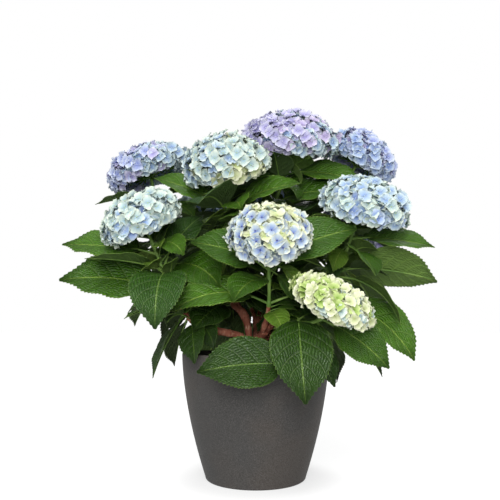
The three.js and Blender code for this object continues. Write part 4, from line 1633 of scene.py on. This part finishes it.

# %% [markdown]
# A sepal is deepest at its foot and palest at its rim, with fine streaks that run outwards. The map gives
# how far out a point is and how near the sepal's edge, and three colours are blended by these. All flowers
# of one dye are one piece with one finish.

# %% Finish of the petals
def petal_finish(name, foot, middle, rim, bead_tone):
    finish, shader = new_finish("petal, " + name.replace("_", " "), {"Specular IOR Level": 0.3})
    place = map_place(finish)
    share = place.part(1) / 0.86
    is_bead = place.part(1).above(0.9)
    is_pale = place.part(0).above(0.5)
    across = abs(place.part(0) - 0.25 - is_pale * 0.5) / 0.23
    inner = (share + is_pale * 0.14).ramp(0.0, 0.66).blend(colour(foot), colour(middle))
    edge = share.ramp(0.5, 1.0) * 0.75 + across.ramp(0.5, 1.0) * 0.5 + is_pale * 0.35 * share
    tinted = edge.smallest(1.0).blend(inner, colour(rim))
    streaks = place.stretched(20.0, 1.6, 1.0).cloud(2.2, 2.0)
    veined = (streaks.ramp(0.5, 0.75) * 0.2).blend(tinted, colour(foot))
    wire_up(shader, is_bead.blend(veined, colour(bead_tone)), 0.5 + streaks * 0.2, streaks, 0.0003)
    return finish


petal_finishes = {name: petal_finish(name, *tones) for name, (_, *tones) in DYES.items()}
print("petal finishes:", len(petal_finishes))

# %% [markdown]
# The flowers stand on a dome at the golden angle, the even spiral that real flower heads use, with chance in
# depth and tilt so that neighbours overlap. Scattering them by chance alone would leave bald patches. Some
# heads have sagged or swelled a little since the rule placed them, and the youngest is still squeezed flat.

# %% Shape of a head
SKIRT = 0.6  # how deep the underside of a head hangs, as a share of its rise
# A young head that is still squeezed flat: the way it is pressed, and how thick it is left.
SQUEEZED = {"low": (np.array([0.42, 0.0, 0.91]), 0.6)}
# Heads that have sagged or swelled: their move in mm, and their size by the rule's.
SETTLED = {
    "front": ((0, 0, -6), 0.93),
    "low": ((-4, 0, -5), 1.05),
    "left": ((2, 0, -6), 0.97),
    "right": ((5, 0, -7), 0.99),
    "centre": ((3, 0, -5), 1.0),
    "top": ((4, 0, -7), 1.06),
    "far_left": ((3, 0, 4), 1.0),
}
AS_PLACED = ((0, 0, 0), 1.0)


def head_middle(name):
    """The middle of a head where it stands now."""
    return np.array(SHOOTS[name]["head"], float) + SETTLED.get(name, AS_PLACED)[0]


def dome(shoot, polar, around):
    """Points on a head's dome and the ways out of it, with the dome's axis along z."""
    p, a = np.radians(polar), np.radians(around)
    rise = shoot["rise"] * np.where(np.degrees(p) > 90, SKIRT, 1)
    flat = np.stack([np.cos(a), np.sin(a), 0 * a], -1)
    at = flat * (shoot["radius"] * np.sin(p))[..., None] + (rise * np.cos(p))[..., None] * UP
    out = flat * (np.sin(p) / shoot["radius"])[..., None] + (np.cos(p) / rise)[..., None] * UP
    return at, unit(out)


def head_turn(shoot):
    """The turn that brings upright to the head's axis by the shortest way, as rows of a matrix."""
    return np.array(Vector(UP).rotation_difference(Vector(head_axis(shoot))).to_matrix())


print("middle of the top head in mm:", head_middle("top"))

# %% [markdown]
# Under the flowers the head's stalk divides, first into a few stout forks and then into one thin stalk for
# each flower. From below and between the petals they show, and they hold the head together in the mesh.
# Flowers that float on nothing would look right only from the front.

# %% Stalk of a head
HEAD_STALK = {"radii": [2.4, 2.4, 2.5, 2.8, 2.2], "sides": 9}
FORK = {"radii": [1.5, 1.1], "sides": 6, "in_ring": 5}
FLOWER_STALK = {"radii": [0.7, 0.5], "sides": 4}


def fork_places(shoot):
    """Where the head's stalk has divided, inside the dome: two rings of forks and one at the top."""
    step = 360 / FORK["in_ring"]
    around = step * np.arange(FORK["in_ring"])
    ring, _ = dome(shoot, np.full(FORK["in_ring"], 55.0), around)
    low, _ = dome(shoot, np.full(FORK["in_ring"], 98.0), around + step / 2)
    return np.concatenate([ring * 0.42, low * 0.45, [[0, 0, shoot["rise"] * 0.4]]])


def add_head_stalk(name, stalks):
    """The stalk from the stem's tip into the head, and its forks."""
    shoot = SHOOTS[name]
    turn = head_turn(shoot)
    centre = head_middle(name)
    below = shoot["rise"] * HEAD["under"]
    foot = turn @ (UP * (-below - HEAD["stalk"])) + np.array(shoot["head"], float)
    hub = turn @ (UP * -below * 0.5) + centre
    rings = len(HEAD_STALK["radii"])
    add_tube(stalks, np.linspace(foot, hub, rings), HEAD_STALK["radii"], HEAD_STALK["sides"])
    for fork in fork_places(shoot):
        add_tube(stalks, [hub, turn @ fork + centre], FORK["radii"], FORK["sides"])


head_stalks = Batch()
for name in SHOOTS:
    add_head_stalk(name, head_stalks)
print("points in the stalks of all heads:", head_stalks.count)

# %% [markdown]
# Each head gets an outer layer of flowers and an inner one of plainer flowers that closes the gaps. A flower
# is placed, tilted, pressed where the head is pressed, given a dye, and joined to the nearest fork by its
# stalk. A dye can keep to one side of a head, as the bluest flowers often do: its share is then weighed by
# how well the flower faces that side.

# %% Grow the flower heads
LAYERS = (
    # number of flowers and reach as shares of the dome's, and down to where: 1 its edge, 2 all round
    {"share": 1.06, "reach": 0.97, "down": 1.42, "grid": OUTER_GRID, "size": 1},
    {"share": 1.05, "reach": 0.86, "down": 1.5, "grid": INNER_GRID, "size": 0.9},
)
USUAL_FLOWER = {"room": 34, "size": 11.6}  # the head's radius squared for each flower, and its size in mm
OWN_FLOWER = {"low": {"room": 24, "size": 8.8}}
UNEVEN = {"depth": 0.13, "lumps": 0.13, "lump_size": 32, "tilt": 0.55}


def dye_of(name, out, seed):
    """A flower's dye: its head's shares are weighed by how well the flower faces each dye's side."""
    weights = []
    for share, side in HEAD_MIXES[name].values():
        facing = 1 if side is None else max(0.03, float(out @ direction(*side)) + 0.35) ** 2 * 2.2
        weights.append(share * facing)
    limits = np.cumsum(weights) / sum(weights)
    return list(HEAD_MIXES[name])[int((limits < chance(seed, 21)).sum())]


def add_layer(name, number, layer, flowers, stalks):
    """Adds one layer of a head's flowers, with their stalks."""
    shoot = SHOOTS[name]
    index = SHOOT_NAMES.index(name)
    flower = OWN_FLOWER.get(name, USUAL_FLOWER)
    count = round(round(shoot["radius"] ** 2 / flower["room"]) * layer["share"])
    turn, centre, forks = head_turn(shoot), head_middle(name), fork_places(shoot)
    grown_by = SETTLED.get(name, AS_PLACED)[1]
    squeeze, left = SQUEEZED.get(name, (UP, 1))
    k = np.arange(count)
    polar = np.degrees(np.arccos(1 - layer["down"] * (k + 0.5) / count))
    around = 137.508 * k + 40 * number + 90 * chance(index, 3)
    at, out = dome(shoot, polar, around)
    for i in range(count):
        seed = index * 977 + number * 500 + i
        lumps = max(0.0, float(soft_hills(at[i][0], at[i][1], UNEVEN["lump_size"], index + 40)))
        depth = layer["reach"] - between(0, UNEVEN["depth"], seed, 31) - UNEVEN["lumps"] * lumps
        tilt = [between(-UNEVEN["tilt"], UNEVEN["tilt"], seed, 32 + axis) for axis in range(3)]
        way = unit(turn @ (out[i] + tilt))
        spot = turn @ (at[i] * (depth * grown_by))
        spot = spot - squeeze * spot.dot(squeeze) * (1 - left) + centre
        size = flower["size"] * between(0.86, 1.06, seed, 35) * layer["size"]
        batch = flowers[dye_of(name, way, seed)]
        add_flower(batch, spot, way, size, between(0, 6.3, seed, 36), seed, layer["grid"])
        start = forks[np.argmin(np.linalg.norm(forks - at[i] * 0.55, axis=1))]
        ends = [turn @ start + centre, spot - way * 0.4]
        add_tube(stalks, ends, FLOWER_STALK["radii"], FLOWER_STALK["sides"])


flower_batches = {name: Batch() for name in DYES}
for name in SHOOTS:
    for number, layer in enumerate(LAYERS):
        add_layer(name, number, layer, flower_batches, head_stalks)
heads = ["flower_head_" + name for name in SHOOTS]
head_stalks.piece("flower_stalks", stem_finish(), "foliage", heads)
for name, (slot, *_) in DYES.items():
    flower_batches[name].piece("petals_" + name, petal_finishes[name], slot)

# %% [markdown]
# ## Size
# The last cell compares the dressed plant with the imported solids. Petals and leaves are finer than the
# solids that stand for them, but they should reach about as far. Only the petals of the hindmost head reach
# a few millimetres further. Measuring the finished meshes is surer than trusting the rule.

# %% Compare the sizes and finish
dressed_low, dressed_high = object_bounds()
sizes = {"cad": [list(solid_low), list(solid_high)], "visual": [list(dressed_low), list(dressed_high)]}
for name, (low, high) in sizes.items():
    print(name, "from", [round(c, 4) for c in low], "to", [round(c, 4) for c in high])
